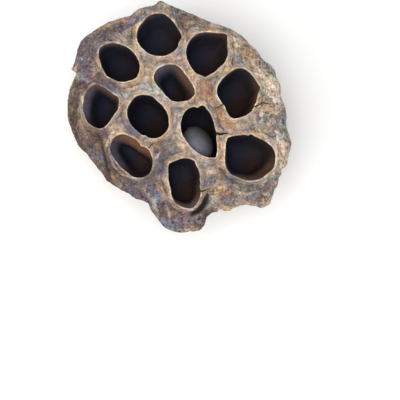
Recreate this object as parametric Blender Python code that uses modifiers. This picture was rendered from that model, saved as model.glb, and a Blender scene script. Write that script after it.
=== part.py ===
"""Dried lotus pod: one woody seed cup with open pits across its face, and one loose seed in a pit.

The frame is in metres with +Z up, from the cut stub that the cup stands on to the pitted face. The
origin lies on that surface, under the middle of the cup's outline. The tables are in millimetres
and degrees, because the sizes of a pod are read more easily that way.
"""

import math
from typing import NamedTuple

import bpy

MM = 0.001

# The cup as a whole, in millimetres.
FACE_HEIGHT = 43.0
CROWN_DROP = 1.2
ROLL_DROP = 5.0
ROLL_POWER = 8
STUB_CENTRE = (-0.2, 0.3)
STUB_RADIUS = 7.4
MEAN_RIM_RADIUS = 42.0
CUP_COLUMNS = 90

# Moves the middle of the finished outline over the origin.
CENTRING = (0.18, 0.19)

# The outline of the rim seen from above: (direction in degrees, radius in millimetres).
RIM_OUTLINE = (
    (0, 41.7), (13, 40.5), (28, 41.0), (37, 39.4), (50, 39.9), (64, 39.0), (76, 38.9), (88, 42.0),
    (98, 45.4), (106, 44.3), (115, 43.9), (128, 45.8), (141, 48.5), (153, 45.6), (163, 43.9), (176, 43.7),
    (190, 41.7), (206, 38.2), (221, 37.4), (238, 35.5), (249, 36.2), (257, 40.6), (271, 45.0), (281, 43.6),
    (289, 39.2), (300, 41.3), (313, 47.6), (323, 47.2), (336, 44.8), (346, 44.8),
)

# Where the face swells or sinks: (x, y, spread, height), in millimetres.
FACE_SWELLS = (
    (1.0, -40.0, 8.0, -2.6),
    (8.5, -34.0, 3.5, -1.6),
    (24.0, -33.0, 8.0, 1.6),
    (40.0, -14.0, 7.0, 1.8),
    (38.0, 6.0, 7.0, 1.4),
    (-7.0, 44.0, 5.0, 1.8),
    (-38.0, 26.0, 7.0, -1.8),
    (-44.0, 2.0, 9.0, -2.6),
    (-33.0, -22.0, 9.0, -4.2),
    (2.0, 0.0, 12.0, 0.8),
)

# The cup's side from the rim down to the foot, at the mean rim radius: (radius, height).
SIDE_PROFILE = (
    (42.0, 36.6), (40.6, 34.9), (39.2, 32.6), (37.6, 29.0), (34.6, 24.0), (30.0, 18.8),
    (24.0, 13.8), (17.4, 9.6), (12.0, 6.4), (8.8, 3.8), (7.6, 1.6), (STUB_RADIUS, 0.0),
)
FACE_RINGS = (41.3, 39.5, 36.5, 32.0, 26.0, 19.0, 11.0)
ROUND_BELOW = 4.0
LOBED_ABOVE = 33.0
PIT_BULGE = 1.3
BULGE_SPREAD = 15.0
BULGE_HEIGHT = 25.0
BULGE_REACH = 10.0
OUTER_PIT_FROM = 23.0
RIB_COUNT = 18
RIB_RISE = 0.45
RIB_BAND = (4.0, 12.0, 27.0, 36.0)

# The pits.
PIT_COLUMNS = 26
PIT_LEAN = 0.1
CORNER_SPREAD = 40.0
CORNER_POWER = 2.2
# A pit's section: (share of the mouth's outline, share of the belly's added reach, share of the depth, down).
PIT_SECTION = (
    (1.0, 0.0, -0.36),
    (1.0, 0.0, 0.0),
    (0.99, 0.6, 0.2),
    (0.94, 1.0, 0.5),
    (0.79, 0.7, 0.78),
    (0.48, 0.3, 0.95),
    (0.0, 0.0, 1.0),
)
LIP_RADIUS = 1.05
LIP_OFFSET = 0.55
LIP_SINK = 0.15


class Pit(NamedTuple):
    """One pit: its mouth is a superellipse, drawn out where the dry tissue pulled it to a corner."""

    name: str
    x: float
    y: float
    half_length: float
    half_width: float
    turn: float
    squareness: float
    depth: float
    corners: tuple = ()
    slip: tuple = (0.0, 0.0)
    belly: float = 0.2


# Corners are (direction, reach). A slip moves a pit's floor, besides the lean that all pits share,
# and the belly is how far the pit widens below its mouth.
PITS = (
    Pit("top", -8.1, 30.5, 8.5, 8.1, 150, 2.0, 18.0, ((356, 0.7),)),
    Pit("upper_right", 10.4, 24.0, 7.9, 7.6, 80, 2.0, 18.5, ((43, 2.9), (265, 1.6))),
    Pit("upper_left", -23.5, 19.9, 8.7, 6.5, 140, 2.1, 17.0, ((142, 0.8),)),
    Pit("middle", -2.2, 11.8, 8.7, 5.7, 146, 2.4, 15.0),
    Pit("right", 22.6, 8.6, 9.5, 7.6, 92, 2.1, 18.5, ((262, 0.7),)),
    Pit("left", -30.6, 3.2, 8.2, 6.3, 98, 2.1, 14.5, ((25, 0.9),)),
    Pit("mid_left", -12.2, -0.8, 8.9, 6.8, 134, 2.3, 18.5),
    Pit("seeded", 7.5, -6.8, 9.6, 6.2, 115, 2.0, 18.0, ((302, 2.2), (78, 1.4)), (1.0, -2.6), 1.2),
    Pit("lower_right", 26.4, -16.3, 9.7, 8.6, 165, 2.2, 18.0, ((138, 1.9),), (1.6, -1.0)),
    Pit("lower_left", -18.4, -16.1, 9.5, 6.2, 134, 2.1, 14.5),
    Pit("bottom", 1.8, -26.1, 9.4, 6.2, 98, 2.4, 16.5, ((64, 0.9),), (-0.8, -1.6)),
)

# The seed, lying low in its pit with its long axis turned in plan and tipped.
SEED_LENGTH = 14.6
SEED_WIDTH = 10.8
SEED_CENTRE = (8.4, -9.6, 33.3)
SEED_TURN = 115.0
SEED_TIP = 10.0
SEED_TAPER = 0.08
SEED_SEGMENTS = 20
SEED_RINGS = 12

CUP_COLOUR = (0.29, 0.20, 0.14, 1.0)
SEED_COLOUR = (0.12, 0.12, 0.14, 1.0)
CUP_ROUGHNESS = 0.85
SEED_ROUGHNESS = 0.55
SHARP_ANGLE = 35.0


def smooth_step(value, low, high):
    """Share of the way from low to high, eased at both ends and held outside them."""
    share = min(1.0, max(0.0, (value - low) / (high - low)))
    return share * share * (3.0 - 2.0 * share)


def turn_between(a, b):
    """Smallest turn between two directions, in degrees."""
    return abs((a - b + 180.0) % 360.0 - 180.0)


def rim_radius(direction):
    """Radius of the rim's outline in a direction: a closed Catmull-Rom curve through RIM_OUTLINE."""
    direction %= 360.0
    count = len(RIM_OUTLINE)
    after = next((i for i, (angle, _) in enumerate(RIM_OUTLINE) if angle > direction), count)
    knots = []
    for i in range(after - 2, after + 2):
        angle, radius = RIM_OUTLINE[i % count]
        knots.append((angle + 360.0 * (i // count), radius))
    (a0, r0), (a1, r1), (a2, r2), (a3, r3) = knots
    slope_1 = (r2 - r0) / (a2 - a0)
    slope_2 = (r3 - r1) / (a3 - a1)
    span = a2 - a1
    t = (direction - a1) / span
    return (
        (2 * t**3 - 3 * t**2 + 1) * r1
        + (t**3 - 2 * t**2 + t) * span * slope_1
        + (3 * t**2 - 2 * t**3) * r2
        + (t**3 - t**2) * span * slope_2
    )


def face_height(x, y):
    """Height of the face at a point: a low crown that rolls down at the rim, with swells and hollows."""
    share = math.hypot(x, y) / rim_radius(math.degrees(math.atan2(y, x)))
    height = FACE_HEIGHT - CROWN_DROP * share**2 - ROLL_DROP * share**ROLL_POWER
    for swell_x, swell_y, spread, rise in FACE_SWELLS:
        height += rise * math.exp(-((x - swell_x) ** 2 + (y - swell_y) ** 2) / spread**2)
    return height


def mouth_radius(pit, direction):
    """Radius of a pit's mouth from its centre in a direction."""
    turned = math.radians(direction - pit.turn)
    along = abs(math.cos(turned) / pit.half_length) ** pit.squareness
    across = abs(math.sin(turned) / pit.half_width) ** pit.squareness
    radius = (along + across) ** (-1.0 / pit.squareness)
    for corner, reach in pit.corners:
        nearness = max(0.0, 1.0 - turn_between(direction, corner) / CORNER_SPREAD)
        radius += reach * nearness**CORNER_POWER
    return radius


def pit_start(pit):
    """Direction of a pit's first column, so that a corner gets a column of its own."""
    return pit.corners[0][0] if pit.corners else pit.turn


def mouth_point(pit, direction, spread=0.0):
    """Point on a pit's mouth, moved out by spread, in plan."""
    radius = mouth_radius(pit, direction) + spread
    angle = math.radians(direction)
    return pit.x + radius * math.cos(angle), pit.y + radius * math.sin(angle)


def new_material(name, colour, roughness):
    material = bpy.data.materials.new(name)
    material.use_nodes = True
    shader = material.node_tree.nodes["Principled BSDF"]
    shader.inputs["Base Color"].default_value = colour
    shader.inputs["Roughness"].default_value = roughness
    shader.inputs["Metallic"].default_value = 0.0
    return material


def new_collection(name):
    collection = bpy.data.collections.new(name)
    bpy.context.scene.collection.children.link(collection)
    return collection


def evaluated_mesh(obj):
    """The object's mesh with its modifiers, or its curve's bevel, applied."""
    graph = bpy.context.evaluated_depsgraph_get()
    return bpy.data.meshes.new_from_object(obj.evaluated_get(graph), depsgraph=graph)


def turned_object(name, profile, columns, collection):
    """A mesh object turned about Z by a Screw modifier from a profile that runs down its outer side."""
    mesh = bpy.data.meshes.new(name)
    points = [(radius, 0.0, height) for radius, height in profile]
    mesh.from_pydata(points, [(i, i + 1) for i in range(len(points) - 1)], [])
    obj = bpy.data.objects.new(name, mesh)
    collection.objects.link(obj)
    screw = obj.modifiers.new("Turn", "SCREW")
    screw.steps = columns
    screw.render_steps = columns
    screw.use_merge_vertices = True
    screw.merge_threshold = 0.0001
    obj.data = evaluated_mesh(obj)
    obj.modifiers.clear()
    return obj


def warp_cup(point):
    """Moves a point of the round cup to the real one: lobed rim, uneven face, ribbed wall that swells at the pits."""
    x, y, z = point
    radius = math.hypot(x, y)
    direction = math.degrees(math.atan2(y, x))
    lobed = smooth_step(z, ROUND_BELOW, LOBED_ABOVE)
    stretch = 1.0 + lobed * (rim_radius(direction) / MEAN_RIM_RADIUS - 1.0)
    if z >= FACE_HEIGHT:
        new_x, new_y = x * stretch, y * stretch
        return new_x, new_y, face_height(new_x, new_y)
    bulge = sum(
        math.exp(-((turn_between(direction, math.degrees(math.atan2(pit.y, pit.x))) / BULGE_SPREAD) ** 2))
        for pit in PITS
        if math.hypot(pit.x, pit.y) > OUTER_PIT_FROM
    )
    bulge *= PIT_BULGE * math.exp(-(((z - BULGE_HEIGHT) / BULGE_REACH) ** 2))
    rib = smooth_step(z, RIB_BAND[0], RIB_BAND[1]) * (1.0 - smooth_step(z, RIB_BAND[2], RIB_BAND[3]))
    rib *= RIB_RISE * math.cos(math.radians(direction) * RIB_COUNT)
    outward = stretch + ((bulge + rib) / radius if radius > 1.0 else 0.0)
    rim = rim_radius(direction)
    angle = math.radians(direction)
    rim_lift = face_height(rim * math.cos(angle), rim * math.sin(angle)) - (FACE_HEIGHT - CROWN_DROP - ROLL_DROP)
    centred = 1.0 - lobed
    return (
        x * outward + STUB_CENTRE[0] * centred,
        y * outward + STUB_CENTRE[1] * centred,
        z + rim_lift * lobed,
    )


def make_cup(collection):
    """The cup's body without its pits, still in millimetres."""
    face = [(0.0, FACE_HEIGHT)] + [(radius, FACE_HEIGHT) for radius in reversed(FACE_RINGS)]
    cup = turned_object("pod", face + list(SIDE_PROFILE) + [(0.0, 0.0)], CUP_COLUMNS, collection)
    for vertex in cup.data.vertices:
        vertex.co = warp_cup(vertex.co)
    return cup


def make_pit_cutter(pit, collection):
    """The space of one pit: its mouth's outline carried down a leaning, rounding section."""
    mean_mouth = (pit.half_length + pit.half_width) / 2
    section = [(share + added * pit.belly / mean_mouth, -down) for share, added, down in PIT_SECTION]
    cutter = turned_object(pit.name + "_cutter", [(0.0, -PIT_SECTION[0][2])] + section, PIT_COLUMNS, collection)
    top = face_height(pit.x, pit.y)
    for vertex in cutter.data.vertices:
        direction = math.degrees(math.atan2(vertex.co.y, vertex.co.x)) + pit_start(pit)
        down = -vertex.co.z
        lean = max(0.0, down)
        reach = math.hypot(vertex.co.x, vertex.co.y) * mouth_radius(pit, direction)
        angle = math.radians(direction)
        vertex.co = (
            pit.x * (1.0 - PIT_LEAN * lean) + pit.slip[0] * lean + reach * math.cos(angle),
            pit.y * (1.0 - PIT_LEAN * lean) + pit.slip[1] * lean + reach * math.sin(angle),
            top - down * pit.depth,
        )
    cutter.hide_render = True
    cutter.display_type = "WIRE"
    return cutter


def make_lip(pit, collection):
    """The raised lip round a pit's mouth: a closed tube, half sunk in the face."""
    curve = bpy.data.curves.new(pit.name + "_lip", "CURVE")
    curve.dimensions = "3D"
    curve.bevel_depth = LIP_RADIUS
    curve.bevel_resolution = 1
    curve.resolution_u = 1
    spline = curve.splines.new("POLY")
    spline.points.add(PIT_COLUMNS - 1)
    spline.use_cyclic_u = True
    for i, knot in enumerate(spline.points):
        x, y = mouth_point(pit, pit_start(pit) + 360.0 * i / PIT_COLUMNS, LIP_OFFSET)
        knot.co = (x, y, face_height(x, y) - LIP_SINK, 1.0)
    guide = bpy.data.objects.new(pit.name + "_lip_guide", curve)
    collection.objects.link(guide)
    lip = bpy.data.objects.new(pit.name + "_lip", evaluated_mesh(guide))
    lip.matrix_world = guide.matrix_world
    collection.objects.link(lip)
    bpy.data.objects.remove(guide)
    return lip


def apply_boolean(obj, operation, operands):
    """Joins or cuts with every object in a collection, applies the result, and removes that collection."""
    boolean = obj.modifiers.new(operation.title(), "BOOLEAN")
    boolean.operation = operation
    boolean.operand_type = "COLLECTION"
    boolean.collection = operands
    boolean.solver = "EXACT"
    obj.data = evaluated_mesh(obj)
    obj.modifiers.clear()
    for operand in list(operands.objects):
        bpy.data.objects.remove(operand)
    bpy.data.collections.remove(operands)


def placed(point):
    """A point of the tables in the part's frame, in metres."""
    x, y, z = point
    return (x + CENTRING[0]) * MM, (y + CENTRING[1]) * MM, z * MM


def make_pod(collection):
    """The cup with its lips and pits."""
    pod = make_cup(collection)
    lips = new_collection("lips")
    cutters = new_collection("pit_cutters")
    for pit in PITS:
        make_lip(pit, lips)
        make_pit_cutter(pit, cutters)
    apply_boolean(pod, "UNION", lips)
    apply_boolean(pod, "DIFFERENCE", cutters)
    for vertex in pod.data.vertices:
        vertex.co = placed(vertex.co)
    pod.data.shade_smooth()
    pod.data.set_sharp_from_angle(angle=math.radians(SHARP_ANGLE))
    pod.data.materials.clear()
    pod.data.materials.append(new_material("dry_cup", CUP_COLOUR, CUP_ROUGHNESS))
    return pod


def make_seed(collection):
    """The loose seed: an oval that tapers a little to its tip."""
    bpy.ops.mesh.primitive_uv_sphere_add(segments=SEED_SEGMENTS, ring_count=SEED_RINGS, radius=1.0)
    seed = bpy.context.object
    seed.name = "seed"
    for vertex in seed.data.vertices:
        taper = 1.0 - SEED_TAPER * vertex.co.z
        vertex.co.x *= taper * SEED_WIDTH / 2 * MM
        vertex.co.y *= taper * SEED_WIDTH / 2 * MM
        vertex.co.z *= SEED_LENGTH / 2 * MM
    seed.rotation_euler = (0.0, math.radians(90.0 - SEED_TIP), math.radians(SEED_TURN))
    seed.location = placed(SEED_CENTRE)
    seed.data.shade_smooth()
    seed.data.materials.append(new_material("seed_coat", SEED_COLOUR, SEED_ROUGHNESS))
    for parent in list(seed.users_collection):
        parent.objects.unlink(seed)
    collection.objects.link(seed)
    return seed


def main():
    for obj in list(bpy.data.objects):
        bpy.data.objects.remove(obj)
    collection = new_collection("lotus_pod")
    make_pod(collection)
    make_seed(collection)


main()
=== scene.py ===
"""Looks of the dried lotus pod: its wrinkled cup, its lipped and cracked pits, and the loose seed.

Lengths in the tables are in millimetres. Directions are in degrees, anticlockwise from +X as seen from
above, and heights are measured up from the surface that the pod stands on.
"""

import logging
import math
from dataclasses import dataclass
from enum import Enum
from typing import Sequence, Union

import bmesh
import bpy
import numpy as np
from mathutils import Matrix, Vector
from mathutils.geometry import delaunay_2d_cdt


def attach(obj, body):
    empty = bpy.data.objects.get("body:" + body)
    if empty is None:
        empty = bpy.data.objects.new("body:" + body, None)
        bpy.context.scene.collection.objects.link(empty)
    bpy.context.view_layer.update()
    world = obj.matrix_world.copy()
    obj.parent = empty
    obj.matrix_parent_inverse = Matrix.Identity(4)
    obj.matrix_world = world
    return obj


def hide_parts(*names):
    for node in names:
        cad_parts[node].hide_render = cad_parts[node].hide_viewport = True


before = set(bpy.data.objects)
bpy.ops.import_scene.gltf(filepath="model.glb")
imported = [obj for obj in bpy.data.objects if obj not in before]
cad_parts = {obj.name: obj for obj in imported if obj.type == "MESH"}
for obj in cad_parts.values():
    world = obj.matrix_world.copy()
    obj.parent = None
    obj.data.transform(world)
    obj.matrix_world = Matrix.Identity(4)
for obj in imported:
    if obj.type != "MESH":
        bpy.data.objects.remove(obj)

log = logging.getLogger("lotus_pod")

# Metres in a millimetre.
MM = 0.001
# What brings the middle of the outline over the origin, in millimetres.
CENTRING = np.array([0.18, 0.19, 0.0])

Values = np.ndarray
Colour = tuple[float, float, float]


def placed(points: Values) -> Values:
    """Moves table points, in millimetres, to the model's frame, in metres.

    Args:
        points: an (n, 3) array.

    Returns:
        The same points with the outline's middle over the origin.
    """
    return (points + CENTRING) * MM


def eased(value: Values, low: float, high: float) -> Values:
    """Share of the way from low to high, as 3s^2 - 2s^3, held at 0 and 1 outside them."""
    share = np.clip((value - low) / (high - low), 0.0, 1.0)
    return share * share * (3.0 - 2.0 * share)


def bell(distance: Values, width: float) -> Values:
    """A bell curve, exp(-(distance / width)^2)."""
    return np.exp(-((distance / width) ** 2))


def turn_between(a: Values, b: float) -> Values:
    """Smallest turn between directions, in degrees."""
    return np.abs((a - b + 180.0) % 360.0 - 180.0)


def polar(direction: Values, radius: Values) -> Values:
    """Plan points at a radius in each direction, as an (..., 2) array."""
    angle = np.radians(direction)
    return np.stack([radius * np.cos(angle), radius * np.sin(angle)], axis=-1)


def on_plan(x: Values, y: Values) -> Values:
    """Plan places as points of height 0, which the noise can be read at."""
    return np.stack([x, y, np.zeros_like(x)], axis=-1)


def columned(direction: Values, girth: float, height: Values) -> Values:
    """Points round an upright column, for noise that is drawn out along a wall.

    Args:
        direction: directions from the column's axis.
        girth: the column's radius.
        height: heights, which are broadcast against the directions.

    Returns:
        An (n, 3) array.
    """
    around = np.radians(direction) + 0.0 * height
    column = np.stack([np.cos(around) * girth, np.sin(around) * girth, height + 0.0 * around], axis=-1)
    return column.reshape(-1, 3)


@dataclass(frozen=True)
class Grain:
    """Seeded value noise: random heights at the corners of a cubic lattice, blended between them.

    Attributes:
        seed: which of the random fields it is.
    """

    seed: int

    def _corner(self, cell: Values) -> Values:
        """Random number for each lattice corner, by mixing the bits of its whole coordinates.

        Args:
            cell: whole coordinates, as an (n, 3) array.

        Returns:
            Values from 0 to 1.
        """
        mixed = cell[..., 0] * 374761393 + cell[..., 1] * 668265263 + cell[..., 2] * 1440662683
        mixed = (mixed + self.seed * 974634777) & 0xFFFFFFFF
        mixed = ((mixed ^ (mixed >> 15)) * 1274126177) & 0xFFFFFFFF
        mixed = ((mixed ^ (mixed >> 13)) * 1103515245) & 0xFFFFFFFF
        return (mixed ^ (mixed >> 16)) / 4294967296.0

    def value(self, points: Values, size: float) -> Values:
        """Smooth noise: corner values blended along each axis by 6t^5 - 15t^4 + 10t^3.

        Args:
            points: an (n, 3) array.
            size: the lattice spacing, about the width of a blob.

        Returns:
            Values from -1 to 1.
        """
        scaled = points / size
        cell = np.floor(scaled).astype(np.int64)
        part = scaled - cell
        ease = part**3 * (part * (part * 6.0 - 15.0) + 10.0)
        total = np.zeros(len(points))
        for corner in np.ndindex(2, 2, 2):
            offset = np.array(corner)
            weight = np.prod(np.where(offset == 1, ease, 1.0 - ease), axis=1)
            total += weight * self._corner(cell + offset)
        return total * 2.0 - 1.0

    def fractal(self, points: Values, size: float, octaves: int = 4, gain: float = 0.5) -> Values:
        """Sum of noise at halving sizes and falling strength.

        Args:
            points: an (n, 3) array.
            size: the lattice spacing of the first octave.
            octaves: how many sizes are summed.
            gain: strength of each size as a share of the one before.

        Returns:
            Values of about -1 to 1.
        """
        total, strength, reach = np.zeros(len(points)), 1.0, 0.0
        for octave in range(octaves):
            total += strength * self.value(points + 17.3 * octave, size / 2.03**octave)
            reach += strength
            strength *= gain
        return total / reach * 1.5

    def ridged(self, points: Values, size: float, octaves: int = 3) -> Values:
        """Sharp ridges: one minus the size of the noise, squared, summed over halving sizes.

        Args:
            points: an (n, 3) array.
            size: the lattice spacing of the first octave.
            octaves: how many sizes are summed.

        Returns:
            Values from 0 to 1.
        """
        total, strength, reach = np.zeros(len(points)), 1.0, 0.0
        for octave in range(octaves):
            crest = 1.0 - np.abs(self.value(points + 9.1 * octave, size / 2.1**octave))
            total += strength * crest**2
            reach += strength
            strength *= 0.5
        return total / reach


@dataclass(frozen=True)
class RimOutline:
    """The pod's outline from above: a closed Catmull-Rom curve of radius over direction.

    Attributes:
        mean_radius: about the radius of a circle of the same size, which turns shares into lengths.
        knots: (direction, radius) pairs of the curve.
    """

    mean_radius: float = 42.0
    knots: tuple = (
        (0, 41.7), (13, 40.5), (28, 41.0), (37, 39.4), (50, 39.9), (64, 39.0), (76, 38.9), (88, 42.0),
        (98, 45.4), (106, 44.3), (115, 43.9), (128, 45.8), (141, 48.5), (153, 45.6), (163, 43.9),
        (176, 43.7), (190, 41.7), (206, 38.2), (221, 37.4), (238, 35.5), (249, 36.2), (257, 40.6),
        (271, 45.0), (281, 43.6), (289, 39.2), (300, 41.3), (313, 47.6), (323, 47.2), (336, 44.8),
        (346, 44.8),
    )

    def radius(self, direction: Values) -> Values:
        """Radius of the outline: a cubic between the two nearest knots, with slopes from their neighbours.

        Args:
            direction: any directions.

        Returns:
            The radius in each direction.
        """
        angles = np.array([knot[0] for knot in self.knots], float)
        radii = np.array([knot[1] for knot in self.knots], float)
        angles = np.concatenate([angles[-2:] - 360.0, angles, angles[:2] + 360.0])
        radii = np.concatenate([radii[-2:], radii, radii[:2]])
        slopes = np.gradient(radii)
        slopes[1:-1] = (radii[2:] - radii[:-2]) / (angles[2:] - angles[:-2])
        turned = np.asarray(direction, float) % 360.0
        i = np.clip(np.searchsorted(angles, turned, side="right") - 1, 1, len(angles) - 3)
        span = angles[i + 1] - angles[i]
        t = (turned - angles[i]) / span
        return (
            (2 * t**3 - 3 * t**2 + 1) * radii[i]
            + (t**3 - 2 * t**2 + t) * span * slopes[i]
            + (3 * t**2 - 2 * t**3) * radii[i + 1]
            + (t**3 - t**2) * span * slopes[i + 1]
        )

    def share(self, x: Values, y: Values) -> Values:
        """How far out a point lies, from 0 at the middle to 1 at the outline."""
        return np.hypot(x, y) / self.radius(np.degrees(np.arctan2(y, x)))


# How far the torn rim stands out from the outline, as (direction, offset) pairs.
WEAR = (
    (0, -0.3), (4, 0), (6, 0.1), (10, -0.5), (14, -0.2), (17, 0.6), (20, 0.3), (23, 0), (26, 0.3),
    (29, 0), (33, -0.4), (35, -0.5), (38, 0), (41, 0.3), (46, -0.5), (50, -0.1), (54, 0.3), (61, 0.8),
    (66, 0.4), (70, 0.4), (76, 0.8), (80, 0.4), (84, -0.2), (90, -0.4), (93, -1), (96.5, -1.2),
    (98, -0.3), (99.5, 0.5), (102, -0.1), (104, -0.2), (107, 0.6), (110.5, 1.3), (113, 0.9), (116, -0.2),
    (120, 0.1), (126, 0.6), (130, 0.4), (134.6, -0.2), (137, -0.6), (139.3, -0.4), (142.6, 0.1),
    (146.9, 0.3), (152.7, 0.3), (155.3, 0.5), (156.3, 1.7), (157.3, -1.1), (158.4, -1.5), (159.6, -1),
    (162, -0.3), (165, 0.2), (171, 0.3), (176, 0), (181, 0.2), (186, 0), (192, 0.1), (196, 0.5),
    (199, 0.3), (202, -0.3), (205, 0), (212, -0.2), (215, -0.5), (218, -0.3), (221, 0.2), (226, 0),
    (232, 0.3), (236, 0.2), (240, 0.8), (244, 0.5), (247.9, -0.2), (250.6, -0.9), (252.7, -0.5),
    (255.7, -0.6), (259, 0), (263, 0.8), (266.5, 0.4), (270.7, 0.1), (275, -0.5), (277, 0.2),
    (279.5, 0.8), (282.8, 0.5), (285.1, -0.8), (288.2, 0.1), (292.1, 0.5), (293, -0.2), (295.1, 0.6),
    (297.8, 1), (299.6, -0.2), (302.3, -0.6), (306.3, -1.9), (309.8, -1.2), (311.6, 0.3), (315.8, 0.7),
    (318.7, -0.4), (321, -0.7), (324, -0.7), (328, -1.4), (330, -0.7), (332, -1.1), (335, 0.5),
    (336.5, 0.7), (338, 0.1), (344, -0.5), (346, -0.2), (350, -0.8), (354, -1.5), (356, -1.2), (358, -0.7),
    (360, -0.3),
)


@dataclass(frozen=True)
class Pit:
    """One pit. Its mouth is a superellipse, drawn out where the dry tissue pulled it to a corner.

    Attributes:
        name: where it lies on the face.
        x: its middle, to the right.
        y: its middle, up the photograph.
        half_length: half the mouth's longer size.
        half_width: half its shorter size.
        turn: direction of its longer size.
        squareness: power of the superellipse; 2 is an ellipse.
        depth: from the smooth face down to the floor.
        corners: where the mouth is drawn out to a corner, as (direction, reach) pairs.
        slip: how far the floor lies to +X and to +Y of the mouth, beside the lean that all pits share.
        belly: how far the wall bulges out halfway down, in millimetres.
        funnel: how much the pit narrows just under its mouth, as a share of its width.
        light: direction of the side of the wall that leans in most and gets a band of painted light.
        lit_reach: how far the painted light runs down that side, in millimetres.
        glow: how strong the painted light is there.
        sky_light: how much painted sky light, grey and pale, falls on the side of the wall that faces the
            sky.
        sky_light_side: direction of that side.
        murk: how much painted shade darkens the lower half of the pit.
        pocket: how far the wall stands back at the lower left, in millimetres.
        nicks: places where the mouth stands out or in, as direction, reach and spread.
        wear: how far the dry edge has drawn back or stands in, as (direction, offset) pairs.
    """

    name: str
    x: float
    y: float
    half_length: float
    half_width: float
    turn: float
    squareness: float
    depth: float
    corners: tuple = ()
    slip: tuple = (0.0, 0.0)
    belly: float = 0.2
    funnel: float = 0.0
    # The band of painted light down one side of the wall.
    light: float = 10.0
    lit_reach: float = 2.8
    glow: float = 0.12
    # Painted sky light on the sky-facing side of the wall.
    sky_light: float = 0.85
    sky_light_side: float = 157.0
    # Painted shade in the lower half of the pit.
    murk: float = 0.0
    pocket: float = 0.0
    nicks: tuple = ()
    wear: tuple = ()

    def mouth(self, direction: Values) -> Values:
        """Radius of the mouth: (|cos/a|^n + |sin/b|^n)^(-1/n), with a pointed bump at each corner.

        The bump is its reach times a power of s, where s falls from 1 at the corner to 0 beside it. A nick
        adds a bell curve, and the wear and a fine noise are added last.

        Args:
            direction: directions from the pit's middle.

        Returns:
            The radius in each direction.
        """
        turned = np.radians(direction - self.turn)
        along = np.abs(np.cos(turned) / self.half_length) ** self.squareness
        across = np.abs(np.sin(turned) / self.half_width) ** self.squareness
        radius = (along + across) ** (-1.0 / self.squareness)
        for corner, reach in self.corners:
            nearness = np.clip(1.0 - turn_between(direction, corner) / 40.0, 0.0, 1.0)
            radius = radius + reach * nearness**2.2
        for nick, reach, spread in self.nicks:
            radius = radius + reach * bell(turn_between(direction, nick), spread)
        ragged = 0.13 * Grain(13).fractal(columned(direction, 8.0, self.x), 2.2, 3)
        if self.wear:
            radius = radius + np.interp(direction, *np.array(self.wear).T, period=360.0)
        return radius + ragged.reshape(np.shape(radius))

    def gap(self, x: Values, y: Values) -> Values:
        """Distance in plan outside the mouth's edge: radial excess times the edge's slant.

        Args:
            x: plan places to the right.
            y: plan places up the photograph.

        Returns:
            The distances, negative inside the mouth.
        """
        direction = np.degrees(np.arctan2(y - self.y, x - self.x))
        edge = self.mouth(direction)
        slope = (self.mouth(direction + 1.0) - self.mouth(direction - 1.0)) / np.radians(2.0)
        return (np.hypot(x - self.x, y - self.y) - edge) * edge / np.hypot(edge, slope)


@dataclass(frozen=True)
class Swell:
    """A place where the face swells or sinks, as a bell curve in plan.

    Attributes:
        x: its middle, to the right.
        y: its middle, up the photograph.
        spread: distance at which it has fallen to a third.
        rise: its height, negative where the face sinks.
    """

    x: float
    y: float
    spread: float
    rise: float

    def height(self, x: Values, y: Values) -> Values:
        """Rise times exp(-(distance / spread)^2)."""
        return self.rise * bell(np.hypot(x - self.x, y - self.y), self.spread)


@dataclass(frozen=True)
class Fold:
    """A ridge, or a crease where its rise is negative, along a broken line on the face.

    Attributes:
        path: plan points of the line.
        width: distance from the line at which it has fallen to a third.
        rise: its height.
    """

    path: tuple
    width: float
    rise: float

    def distance(self, x: Values, y: Values) -> tuple[Values, Values]:
        """Distance to the line: the least of the distances to its straight parts.

        Args:
            x: plan places to the right.
            y: plan places up the photograph.

        Returns:
            The distances, and how far along the line the nearest point lies, from 0 to 1.
        """
        best = np.full(np.shape(x), np.inf)
        along = np.zeros(np.shape(x))
        steps = np.array(self.path, float)
        lengths = np.hypot(*(steps[1:] - steps[:-1]).T)
        walked, whole = 0.0, lengths.sum()
        for (ax, ay), (bx, by), length in zip(self.path, self.path[1:], lengths):
            t = np.clip(((x - ax) * (bx - ax) + (y - ay) * (by - ay)) / length**2, 0.0, 1.0)
            apart = np.hypot(x - ax - t * (bx - ax), y - ay - t * (by - ay))
            nearer = apart < best
            best = np.where(nearer, apart, best)
            along = np.where(nearer, (walked + t * length) / whole, along)
            walked += length
        return best, along

    def height(self, x: Values, y: Values) -> Values:
        """A bell curve across the line, which fades towards both of its ends.

        Args:
            x: plan places to the right.
            y: plan places up the photograph.

        Returns:
            The height at each place.
        """
        apart, along = self.distance(x, y)
        fading = np.sin(np.pi * np.clip(along * 0.86 + 0.07, 0.0, 1.0)) ** 0.7
        return self.rise * bell(apart, self.width) * fading


@dataclass(frozen=True)
class Crack(Fold):
    """A split that opens at a pit's lip and closes at its far end. Its width is the half width at the lip."""

    def opening(self, x: Values, y: Values) -> Values:
        """How open the split is: 1 in its middle, falling straight to 0 at its sides.

        Args:
            x: plan places to the right.
            y: plan places up the photograph.

        Returns:
            Values from 0 to 1.
        """
        apart, along = self.distance(x, y)
        return np.clip(1.25 - apart / self.half_width(along), 0.0, 1.0)

    def half_width(self, along: Values) -> Values:
        """Half width at a share of the way along, which closes in a straight taper."""
        return self.width * (1.0 - 0.85 * along).clip(0.1) + 0.03


class Tint(Enum):
    """Stains of the dry face, and a painted shade, each kept on the mesh as a value from 0 to 1."""

    BLOOM = "bloom"
    OCHRE = "ochre"
    MAUVE = "mauve"
    SLATE = "slate"
    CREAM = "cream"
    # Painted shade, not a stain.
    DUSK = "dusk"
    RUST = "rust"


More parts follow.
